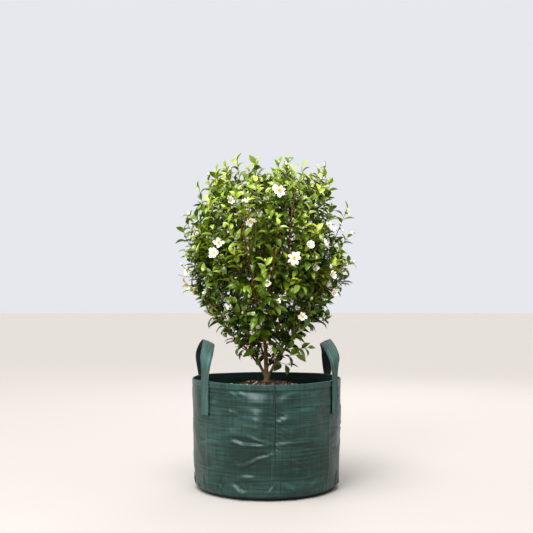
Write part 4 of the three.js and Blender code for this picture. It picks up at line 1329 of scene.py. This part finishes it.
def build_twigs(context, plant, limbs):
    """Twigs, stems in front and side shoots as tapering tubes of four sides, each kind in its own piece: the
    twigs in a darker copy of the young bark as painted shade, the stems in front in a paler one as painted
    light.
    """
    share = np.linspace(0, 1, 9)
    for name, controls, base, tip, colour in (
        # Painted shade and light: the twigs take a darker copy of the young bark for the crown's shade, and
        # the stems in front a paler one.
        ("twigs", plant["twigs"], 0.0019, 0.0012, shaded(limbs.young, 0.8)),
        ("front_stems", plant["stems"], 0.0032, 0.0016, (0.42, 0.18, 0.07)),
        ("side_shoots", plant["fine"], 0.0013, 0.0007, limbs.shoot),
    ):
        radius = np.broadcast_to((base + (tip - base) * share)[:, None], (len(controls), len(share), 1))
        points, quads, ends = tubes(bezier(controls, share), bezier_tangent(controls, share), radius, 4)
        finish = shoot_finish(name, colour)
        add_piece(context, name, points, [quads, ends], finish, "bark", nodes_called("foliage_"))


def nodes_called(*starts):
    """The names of the CAD nodes that begin with one of some words."""
    return [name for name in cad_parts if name.startswith(starts)]


# Leaves

# A leaf's outline: stations along it, and half widths there as shares of the greatest.
LEAF_STATIONS = np.array([0.09, 0.24, 0.43, 0.63, 0.82])
LEAF_HALF_WIDTHS = np.array([0.07, 0.70, 1.0, 0.86, 0.45])
LEAF_TONES = 7
OLDEST = 0.26  # the youth, from 0 to 1, of the darkest tone
OPENING = 0.85  # the angle between a leaf and its shoot
LEVEL_HEIGHT = 0.70  # where leaves neither droop nor rise
LEAF_ROUGHNESS = (0.22, 0.32)  # of the oldest and the newest leaves
# The view of the trunk's foot: no leaf nearer to the middle than close, and half of them up to edge.
TRUNK_VIEW = dict(root=0.018, root_top=0.49, close=0.020, edge=0.065, top=0.485)
# The view of an open flower: how far behind, before and beside it no leaf comes.
FLOWER_VIEW = dict(behind=0.008, ahead=0.055, beside=0.028)
# The same for a stem, with the share of its leaves that stay.
STEM_VIEW = dict(ahead=0.15, beside=0.009, leaves=0.16)


def leaf_template():
    """A leaf's points as (share along it, half width, side, layer): root, tip, and at each station both
    edges, the midrib and the underside's midrib. Its faces are the upper side's, then the underside's."""
    along = np.append([0, 1], np.repeat(LEAF_STATIONS, 4))
    half = np.append([0, 0], np.repeat(LEAF_HALF_WIDTHS, 4))
    side = np.append([0, 0], np.tile([-1, 0, 1, 0], len(LEAF_STATIONS)))
    under = np.append([0, 0], np.tile([0, 0, 0, 1], len(LEAF_STATIONS)))
    faces = []
    stations = 2 + 4 * np.arange(len(LEAF_STATIONS))
    for rib, order in ((1, 1), (3, -1)):
        for left, right in ((0, rib), (rib, 2)):
            strip = [(0, stations[0] + right, stations[0] + left)]
            strip += [(a + left, a + right, b + right) for a, b in zip(stations, stations[1:])]
            strip += [(a + left, b + right, b + left) for a, b in zip(stations, stations[1:])]
            strip += [(1, stations[-1] + left, stations[-1] + right)]
            faces += [face[::order] for face in strip]
    return along, half, side, under, np.array(faces)


def leaves_along(controls, start, keys, spacing, size, youth):
    """Leaves on shoots: one every spacing from a start share to the tip, each turned on by the golden
    angle. Returns flat arrays: roots, directions of the shoot, turns, keys, lengths, youth and shares."""
    start = np.broadcast_to(start, len(controls))[:, None]
    path = bezier(controls, np.linspace(0, 1, 12))
    length = np.linalg.norm(np.diff(path, axis=1), axis=-1).sum(axis=1)[:, None]
    count = np.maximum(2, np.ceil(length * (1 - start) / spacing)).astype(int)
    number = np.arange(count.max())[None]
    used = number < count
    leaf_keys = keys[:, None] * 64 + number
    jitter = 0.3 * (chance(leaf_keys, 81) - 0.5)
    share = np.minimum(start + (1 - start) * (number + 0.6 + jitter) / count, 0.985)
    turn = number * GOLDEN_ANGLE + keys[:, None] * 1.7
    place = np.where(used, share, 0.5)
    root, along = bezier(controls, place), bezier_tangent(controls, place)
    taper = (1 - 0.34 * share**3) * (0.84 + 0.40 * chance(leaf_keys, 8))
    length = size * taper * (1.13 - 0.12 * ease((root[..., 2] - 0.40) / 0.40))
    return [value[used] for value in (root, along, turn, leaf_keys, length, youth + 0.22 * share, share)]


def leaf_bases(root, along, turn, key, share):
    """The directions of leaves: each opens from its shoot, less at the tip, and droops low in the crown and
    rises high in it. Its face looks up and outwards, square to it."""
    side = turned(level_beside(along), along, turn)
    opening = OPENING + 0.5 * (chance(key, 6) - 0.5) - 0.45 * share**4
    axis = along * np.cos(opening)[:, None] + side * np.sin(opening)[:, None]
    axis[:, 2] += np.clip((root[:, 2] - LEVEL_HEIGHT) / 2.0, -0.09, 0.15)
    axis = unit(axis)
    looking = (0.9 + 0.7 * chance(key, 7)) * (0.40 + 0.60 * ease((root[:, 2] - 0.45) / 0.40))
    facing = around(0.7, sideways(root) + 1.1 * (chance(key, 82) - 0.5), looking)
    facing = unit(facing - axis * dot(axis, facing))
    return axis, np.cross(facing, axis), facing


def leaf_points(root, axis, across, facing, length, key, width):
    """Every leaf's points: it bends down along a circle's arc, its halves are folded up from the midrib,
    and its edge is waved. The underside's midrib lies a hundredth of the length lower."""
    along, half, side, under, faces = leaf_template()
    bend = (0.40 + 0.85 * chance(key, 83))[:, None]
    fold = (0.22 + 0.40 * chance(key, 84))[:, None]
    length = length[:, None]
    reach = np.sin(bend * along) / bend
    drop = (1 - np.cos(bend * along)) / bend
    wave = 0.018 * np.sin(along * 11 + key[:, None]) * side * side * (half > 0.3)
    out = half * side * width / 2
    x = reach * length + np.abs(out) * np.sin(fold) * np.sin(bend * along) * length
    y = out * np.cos(fold) * length
    z = (-drop + np.abs(out) * np.sin(fold) * np.cos(bend * along) + wave - 0.010 * under) * length
    return in_basis(root, x, y, z, axis, across, facing), faces


def leaf_tone(root, key, youth):
    """Which of the tones a leaf has, from 0 for the oldest: its youth along its shoot, then paler with height
    and with how far out it grows, partly for the younger growth there and partly as painted light on the
    crown's top and outside, and some chance for each spray and each leaf."""
    height = np.clip((root[:, 2] - 0.46) / 0.58, 0, 1)
    out = np.maximum(np.hypot(root[:, 0], root[:, 1]) / 0.28, (root[:, 2] - 0.70) / 0.34)
    spray, single = chance(key // 64, 85) - 0.5, chance(key, 87) - 0.5
    # Partly painted light: the height and outward terms make the crown's top and outside paler, where the
    # light falls, besides their younger growth.
    score = OLDEST + 0.14 * height + 0.22 * np.clip(out, 0, 1) + 0.32 * spray + 0.18 * single + youth
    return np.clip(((score - OLDEST) / (1 - OLDEST) * LEAF_TONES).astype(int), 0, LEAF_TONES - 1)


def clear_of_flowers(points, centres, facings):
    """Whether leaves leave the open flowers free: none within reach of the petals or close before them."""
    clear = np.ones(len(points), bool)
    for centre, facing in zip(centres, facings):
        away = points - centre
        ahead = away @ facing
        beside = np.linalg.norm(away - ahead[:, None] * facing, axis=1)
        outside = (ahead < -FLOWER_VIEW["behind"]) | (ahead > FLOWER_VIEW["ahead"])
        clear &= outside | (beside > FLOWER_VIEW["beside"])
    return clear


def clear_of_stems(points, stems):
    """Whether points leave the stems in front showing: none close beside one or for some way before it."""
    clear = np.ones(len(points), bool)
    for place in bezier(stems, np.linspace(0.3, 0.95, 26)).reshape(-1, 3):
        away = points - place
        beside = np.hypot(away[:, 0], 0.6 * away[:, 2])
        clear &= (beside > STEM_VIEW["beside"]) | (away[:, 1] > 0) | (away[:, 1] < -STEM_VIEW["ahead"])
    return clear


def leaves_kept(plant, root, axis, length, key):
    """Which leaves stay: those that leave the trunk's foot, the flowers and most of the stems in front in
    view, and only a share of them deep inside the crown, at the back and low down."""
    x, y, z = root.T
    middle = root + axis * length[:, None] / 2
    beside = np.abs(middle[:, 0])
    kept = (np.abs(x) > TRUNK_VIEW["root"]) | (y > 0) | (z > TRUNK_VIEW["root_top"])
    kept &= (middle[:, 1] >= 0) | (middle[:, 2] >= TRUNK_VIEW["top"]) | (beside > TRUNK_VIEW["edge"]) | (
        (beside > TRUNK_VIEW["close"]) & (chance(key, 92) < 0.5)
    )
    depth = np.hypot(x, y) / np.maximum(0.05, crown_radius(z))
    for elsewhere, salt, share in (
        ((depth > 0.55) | (np.abs(z - 0.72) > 0.22), 86, 0.50),
        ((y < -0.03) | (z > 0.66), 88, 0.62),
        (z > 0.54, 90, 0.72),
    ):
        kept &= elsewhere | (chance(key, salt) < share)
    kept &= clear_of_flowers(middle, *open_flowers(plant)[:2])
    for share in (0.25, 0.55, 0.85):
        clear = clear_of_stems(root + axis * length[:, None] * share, plant["stems"][:3])
        kept &= clear | (chance(key, 93) < STEM_VIEW["leaves"])
    return kept


def build_leaves(context, plant, foliage):
    """All the leaves, each tone in a piece of its own."""
    # Each kind of shoot: where on it the leaves begin, its keys, how much wider they stand, its youth.
    kinds = (
        ("fine", 0.12, plant["fine_keys"], 1.0, 0.06),
        ("twigs", 0.30, plant["twig_keys"] + 50000, 1.3, -0.04),
        ("leaders", plant["entries"], plant["leader_keys"] + 60000, 1.1, -0.06),
        ("stems", 0.35, plant["stem_keys"], 1.3, 0.0),
    )
    root, along, turn, key, length, youth, share = joined_columns(
        leaves_along(plant[kind], start, keys, foliage.spacing * wider, foliage.leaf_length, age)
        for kind, start, keys, wider, age in kinds
    )
    axis, across, facing = leaf_bases(root, along, turn, key, share)
    kept = leaves_kept(plant, root, axis, length, key)
    leaves = [values[kept] for values in (root, axis, across, facing, length, key)]
    points, faces = leaf_points(*leaves, foliage.leaf_width)
    tone = leaf_tone(root[kept], key[kept], youth[kept])
    deep, tender = np.array(foliage.deep), np.array(foliage.tender)
    replaced, sharp = nodes_called("foliage_"), math.radians(75)
    for index in range(LEAF_TONES):
        chosen = points[tone == index]
        age = OLDEST + (1 - OLDEST) * index / (LEAF_TONES - 1)
        roughness = LEAF_ROUGHNESS[0] + (LEAF_ROUGHNESS[1] - LEAF_ROUGHNESS[0]) * age
        finish = leaf_finish(f"leaf_tone_{index + 1}", deep ** (1 - age) * tender**age, roughness)
        name, sheets = f"leaves_tone_{index + 1}", copies(faces, chosen)
        add_piece(context, name, chosen, sheets, finish, "foliage", replaced, sharp)


# Flowers and buds

STAMENS = 34
PETAL_THICKNESS = 0.0004
PETAL_ROWS, PETAL_COLUMNS = 8, 7
FAR_OFF = 9.0  # a place so far off that it is nearest to nothing


def open_flowers(plant):
    """The open flowers: centres, the ways they face, how far they are shut, their sizes and keys. Those in
    front come from the table, the others face outwards on the twigs that bloom."""
    tip, keys = plant["twigs"][plant["twig_blooms"]][:, 2], plant["twig_keys"][plant["twig_blooms"]]
    side, slope = sideways(tip) + 0.9 * (chance(keys, 90) - 0.5), 0.9 * (chance(keys, 91) - 0.4)
    shut, size = 0.35 + 0.6 * chance(keys, 96), 0.75 + 0.3 * chance(keys, 94)
    row = keys - (len(plant["blooms"]) - len(FRONT_BLOOMS))
    table = FRONT_BLOOMS[np.maximum(row, 0), 2:].T
    known = (np.radians(table[0]), np.radians(table[1]), table[2], table[3])
    pairs = zip(known, (side, slope, shut, size))
    side, slope, shut, size = (np.where(row >= 0, listed, other) for listed, other in pairs)
    return tip, around(np.cos(slope), side, np.sin(slope)), shut, size, keys


def half_open_flowers(plant, blossom):
    """Half-open flowers on side shoots: the nearest shoot to each place in the front's table, and others by
    chance. A shoot is in front where it ends past half the depth of a circle of 0.26 m."""
    tips, keys = plant["fine"][:, 2], plant["fine_keys"]
    chosen = chance(keys, 89) < np.where(tips[:, 1] > -0.05, 1.7, 1.0) * blossom.half_open
    size = 0.45 + 0.30 * chance(keys, 94)
    in_front = tips[:, 1:2] < -0.5 * np.sqrt(0.07 - np.minimum(0.06, tips[:, :1] ** 2))
    front = np.where(in_front, tips, FAR_OFF)
    gap = np.hypot(front[:, :1] - FRONT_BUDS[:, 0], front[:, 2:] - FRONT_BUDS[:, 1])
    nearest = np.argmin(gap, axis=0)
    chosen[nearest] = True
    size[nearest] = FRONT_BUDS[:, 2]
    tips, keys, way = tips[chosen], keys[chosen], tip_ways(plant["fine"][chosen])
    facing = unit(way * 0.6 + around(1, sideways(tips), 0) * 0.7)
    return tips, facing, 0.80 + 0.45 * chance(keys, 96), size[chosen], keys


def tip_ways(curves):
    """The directions in which shoots end."""
    return unit(curves[:, 2] - curves[:, 1])


def petal_points(centre, outward, across, facing, radius, cup, key):
    """Petals from a flower's centre: the half width is radius times 0.20 to 0.28 and the power 0.85 of a
    sine along it. A petal is cupped by the square of the side, rises by the sine of cup along it and rolls
    back at the end, with a notch at the tip and a wave on the edge."""
    grid = np.meshgrid(np.linspace(0, 1, PETAL_ROWS), np.linspace(-1, 1, PETAL_COLUMNS), indexing="ij")
    along, side = grid[0].ravel(), grid[1].ravel()
    radius, cup, key = radius[:, None], cup[:, None], key[:, None]
    half = radius * (0.20 + 0.08 * chance(key, 99)) * np.sin(np.pi * (0.05 + 0.84 * along**1.1)) ** 0.85
    notch = (0.06 + 0.14 * chance(key, 100)) * along**5 * (1 - np.abs(side)) ** 1.5
    reach = radius * (along - notch - 0.12 * along**3 * side**2)
    lift = np.sin(cup * along) - 0.22 * along**4 * (1.3 - cup)
    wave = 0.07 * radius * np.sin(side * 3.5 + key * 1.7) * along**2
    x = reach * np.cos(cup * along * 0.85)
    y = half * side
    z = reach * lift + half * 0.40 * side * side + wave + side * half * 0.5 * (chance(key, 101) - 0.5)
    return in_basis(centre, x, y, z, outward, across, facing), strip_faces(PETAL_ROWS, PETAL_COLUMNS, False)


def spindle(points, way, length, width, sides=6, rows=5):
    """Closed pods along a way: their radius is a power of a sine of the share, largest below the middle."""
    share = np.linspace(0.04, 0.99, rows)
    ring = np.sin(np.pi * share**0.8) ** 0.8
    level = unit(np.cross(way, [[0.31, 0.2, 0.9]]))
    spokes = wheel(level[:, None], np.cross(way, level)[:, None], sides)
    centre = points[:, None] + way[:, None] * (share * length[:, None])[..., None]
    rings = centre[:, :, None] + spokes * (ring * width[:, None] / 2)[:, :, None, None]
    sheets = (strip_faces(rows, sides, True), end_faces(rows, sides))
    return rings.reshape(-1, 3), *(repeated(faces, len(points), rows * sides) for faces in sheets)


def build_flowers(context, plant, blossom):
    """Open and half-open flowers: petals in a ring, every other one more shut, round a tuft of stamens."""
    flowers = (open_flowers(plant), half_open_flowers(plant, blossom))
    centre, facing, shut, size, keys = joined_columns(flowers)
    radius = blossom.radius * size
    count, petals = len(centre), blossom.petals
    level = level_beside(facing)
    petal, owner = np.tile(np.arange(petals), count), np.repeat(np.arange(count), petals)
    petal_keys = keys[owner] * 8 + petal
    spin = TAU * petal / petals + TAU * chance(keys[owner], 92) + 0.55 * (chance(petal_keys, 93) - 0.5)
    outward = turned(level[owner], facing[owner], spin)
    across = np.cross(facing[owner], outward)
    length = radius[owner] * (0.78 + 0.36 * chance(petal_keys, 95))
    cup = shut[owner] + 0.10 * (petal % 2) + 0.28 * (chance(petal_keys, 102) - 0.5)
    points, faces = petal_points(centre[owner], outward, across, facing[owner], length, cup, petal_keys)
    piece = add_piece(context, "petals", points, copies(faces, points), petal_finish(blossom), "foliage")
    wall = piece.modifiers.new("thickness", "SOLIDIFY")
    wall.thickness, wall.offset = PETAL_THICKNESS, 0.0
    thread, owner = np.tile(np.arange(STAMENS), count), np.repeat(np.arange(count), STAMENS)
    tilt = 0.12 + (0.75 - 0.35 * shut[owner]) * np.sqrt((thread + 0.5) / STAMENS)
    spoke = turned(level[owner], facing[owner], thread * GOLDEN_ANGLE)
    way = facing[owner] * np.cos(tilt)[:, None] + spoke * np.sin(tilt)[:, None]
    length = 0.40 * radius[owner] * (0.8 + 0.35 * chance(keys[owner], thread))
    wide = radius[owner] / blossom.radius
    foot, tip = centre[owner], centre[owner] + way * (length * 0.82)[:, None]
    yellow = mottled_finish("stamens", blossom.stamen, 0.75, 0.6)
    for name, (corners, quads, ends) in (
        ("filaments", spindle(foot, way, length, 0.0010 * wide, 3, 3)),
        ("anthers", spindle(tip, way, 0.0036 * wide, 0.0029 * wide, 4, 3)),
    ):
        add_piece(context, name, corners, [quads, ends], yellow, "foliage")


def build_buds(context, plant, blossom):
    """Flower buds on the tips of side shoots: pods in cream, the lower part held by green scales."""
    keys = plant["fine_keys"]
    chosen = (chance(keys, 97) < blossom.buds) & (chance(keys, 89) >= blossom.half_open)
    tip, way, fat = plant["fine"][chosen][:, 2], tip_ways(plant["fine"][chosen]), chance(keys[chosen], 98)
    length = 0.009 + 0.007 * fat
    width = 0.0060 + 0.0060 * fat
    for name, start, long, wide, colour, darker in (
        ("buds", tip, length, width, blossom.bud, 0.85),
        ("bud_scales", tip - way * 0.001, length * 0.48, width * 1.08, (0.22, 0.30, 0.06), 0.6),
    ):
        corners, quads, ends = spindle(start, way, long, wide)
        finish = mottled_finish(name, colour, darker, 0.45)
        add_piece(context, name, corners, [quads, ends], finish, "foliage")


# The stage


FLOOR_SIDES = 96
# The lamps: name, kind, place, size in metres or the sun's angle, and strength.
LAMPS = [
    ("key", "AREA", (-1.3, -3.1, 2.3), 1.9, 85), ("back", "AREA", (0.8, 3.0, 2.6), 2.2, 35),
    ("sky", "SUN", (-0.3, -0.7, 3.0), math.radians(38), 3.7),
]
LAMP_AIM = (0.0, 0.0, 0.6)


def build_stage(context, stage):
    """A pale floor, three soft lamps, a pale surround and the camera at the photograph's viewing angle."""
    angle = even_angles(FLOOR_SIDES)
    rings = np.stack([around(radius, angle, -0.0002) for radius in (0.5, 3.0, 14.0, 60.0)])
    finish = Finish("pale_floor", roughness=0.85, specular=0.2)
    grain = finish.noise(finish.place(), 160.0, 4.0)
    finish.set("Base Color", finish.blend(grain * 0.35, stage.floor, shaded(stage.floor, 0.88)))
    faces = [strip_faces(len(rings), FLOOR_SIDES, True)[:, ::-1], np.arange(FLOOR_SIDES)[None]]
    floor = add_piece(context, "floor", rings, faces, finish.material)
    world = bpy.data.worlds.new("pale_surround")
    world.use_nodes = True
    background = world.node_tree.nodes["Background"]
    background.inputs["Color"].default_value = (0.93, 0.95, 1.0, 1)
    background.inputs["Strength"].default_value = 0.72
    context.scene.world = world
    for name, kind, place, size, power in LAMPS:
        light = bpy.data.lights.new(name, kind)
        light.energy, light.color = power, (0.92, 0.97, 1.0)
        if kind == "SUN":
            light.angle = size
        else:
            light.shape, light.size = "DISK", size
        lamp = bpy.data.objects.new(name, light)
        lamp.location = place
        aim = np.subtract(LAMP_AIM, place)
        down = math.acos(-aim[2] / np.linalg.norm(aim))
        lamp.rotation_euler = (down, 0, math.atan2(aim[1], aim[0]) - math.pi / 2)
        context.collection.objects.link(lamp)
    camera = bpy.data.objects.new("camera", bpy.data.cameras.new("camera"))
    camera.data.lens, camera.data.sensor_width = stage.lens, 36
    camera.location = stage.eye
    camera.rotation_euler = (math.pi / 2 + stage.pitch, 0, 0)
    context.collection.objects.link(camera)
    context.scene.camera = camera
    context.scene.view_settings.view_transform = "Standard"
    context.scene.view_settings.look = "Medium High Contrast"


# Operators


class CAMELLIA_OT_bag(bpy.types.Operator):
    """Build the planter bag's shell"""

    bl_idname = "camellia.bag"
    bl_label = "Planter Bag"

    def execute(self, context):
        build_bag(context, context.scene.camellia_bag)
        return {"FINISHED"}


class CAMELLIA_OT_straps(bpy.types.Operator):
    """Build both carrying straps and all the stitches"""

    bl_idname = "camellia.straps"
    bl_label = "Carrying Straps"

    def execute(self, context):
        bag, strap = context.scene.camellia_bag, context.scene.camellia_strap
        parts = bag_stitches(bag)
        for side in STRAPS:
            build_strap(context, bag, strap, side)
            parts += strap_stitches(bag, strap, side)
        points, faces = joined(parts)
        add_piece(context, "stitching", points, [faces], thread_finish(bag), "strap")
        return {"FINISHED"}


class CAMELLIA_OT_mix(bpy.types.Operator):
    """Build the potting mix and the bark chips on it"""

    bl_idname = "camellia.mix"
    bl_label = "Potting Mix"

    def execute(self, context):
        build_mix(context, context.scene.camellia_bag, context.scene.camellia_mix)
        build_chips(context, context.scene.camellia_bag, context.scene.camellia_mix)
        return {"FINISHED"}


class CAMELLIA_OT_wood(bpy.types.Operator):
    """Build the trunk, the boughs and the twigs"""

    bl_idname = "camellia.wood"
    bl_label = "Trunk, Boughs and Twigs"

    def execute(self, context):
        scene = context.scene
        plant = grow(scene)
        build_limbs(context, plant, scene.camellia_limbs, scene.camellia_mix)
        build_twigs(context, plant, scene.camellia_limbs)
        return {"FINISHED"}


class CAMELLIA_OT_leaves(bpy.types.Operator):
    """Build all the leaves"""

    bl_idname = "camellia.leaves"
    bl_label = "Leaves"

    def execute(self, context):
        build_leaves(context, grow(context.scene), context.scene.camellia_foliage)
        return {"FINISHED"}


class CAMELLIA_OT_blossom(bpy.types.Operator):
    """Build the flowers and buds"""

    bl_idname = "camellia.blossom"
    bl_label = "Flowers and Buds"

    def execute(self, context):
        plant = grow(context.scene)
        build_flowers(context, plant, context.scene.camellia_blossom)
        build_buds(context, plant, context.scene.camellia_blossom)
        return {"FINISHED"}


class CAMELLIA_OT_stage(bpy.types.Operator):
    """Set up the floor, the lamps and the camera"""

    bl_idname = "camellia.stage"
    bl_label = "Stage"

    def execute(self, context):
        build_stage(context, context.scene.camellia_stage)
        return {"FINISHED"}


SETTINGS = {
    "camellia_bag": BagSettings,
    "camellia_strap": StrapSettings,
    "camellia_mix": MixSettings,
    "camellia_limbs": LimbSettings,
    "camellia_foliage": FoliageSettings,
    "camellia_blossom": BlossomSettings,
    "camellia_stage": StageSettings,
}
OPERATORS = (
    CAMELLIA_OT_bag, CAMELLIA_OT_straps, CAMELLIA_OT_mix, CAMELLIA_OT_wood, CAMELLIA_OT_leaves,
    CAMELLIA_OT_blossom, CAMELLIA_OT_stage,
)


class CAMELLIA_PT_sidebar(bpy.types.Panel):
    """The settings and the steps of the camellia shrub"""

    bl_idname = "CAMELLIA_PT_sidebar"
    bl_label = "Camellia Shrub"
    bl_space_type = "VIEW_3D"
    bl_region_type = "UI"
    bl_category = "Camellia"

    def draw(self, context):
        for label, settings in SETTINGS.items():
            box = self.layout.box()
            box.label(text=label.replace("camellia_", "").title())
            for key in settings.__annotations__:
                box.prop(getattr(context.scene, label), key)
        for operator in OPERATORS:
            self.layout.operator(operator.bl_idname)


def register():
    for settings in SETTINGS.values():
        bpy.utils.register_class(settings)
    for label, settings in SETTINGS.items():
        setattr(bpy.types.Scene, label, PointerProperty(type=settings))
    for item in (*OPERATORS, CAMELLIA_PT_sidebar):
        bpy.utils.register_class(item)


def unregister():
    for item in (CAMELLIA_PT_sidebar, *reversed(OPERATORS)):
        bpy.utils.unregister_class(item)
    for label, settings in SETTINGS.items():
        delattr(bpy.types.Scene, label)
        bpy.utils.unregister_class(settings)


def main():
    """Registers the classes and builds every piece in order."""
    register()
    for operator in OPERATORS:
        getattr(bpy.ops.camellia, operator.bl_idname.split(".")[1])()


if __name__ == "__main__":
    main()
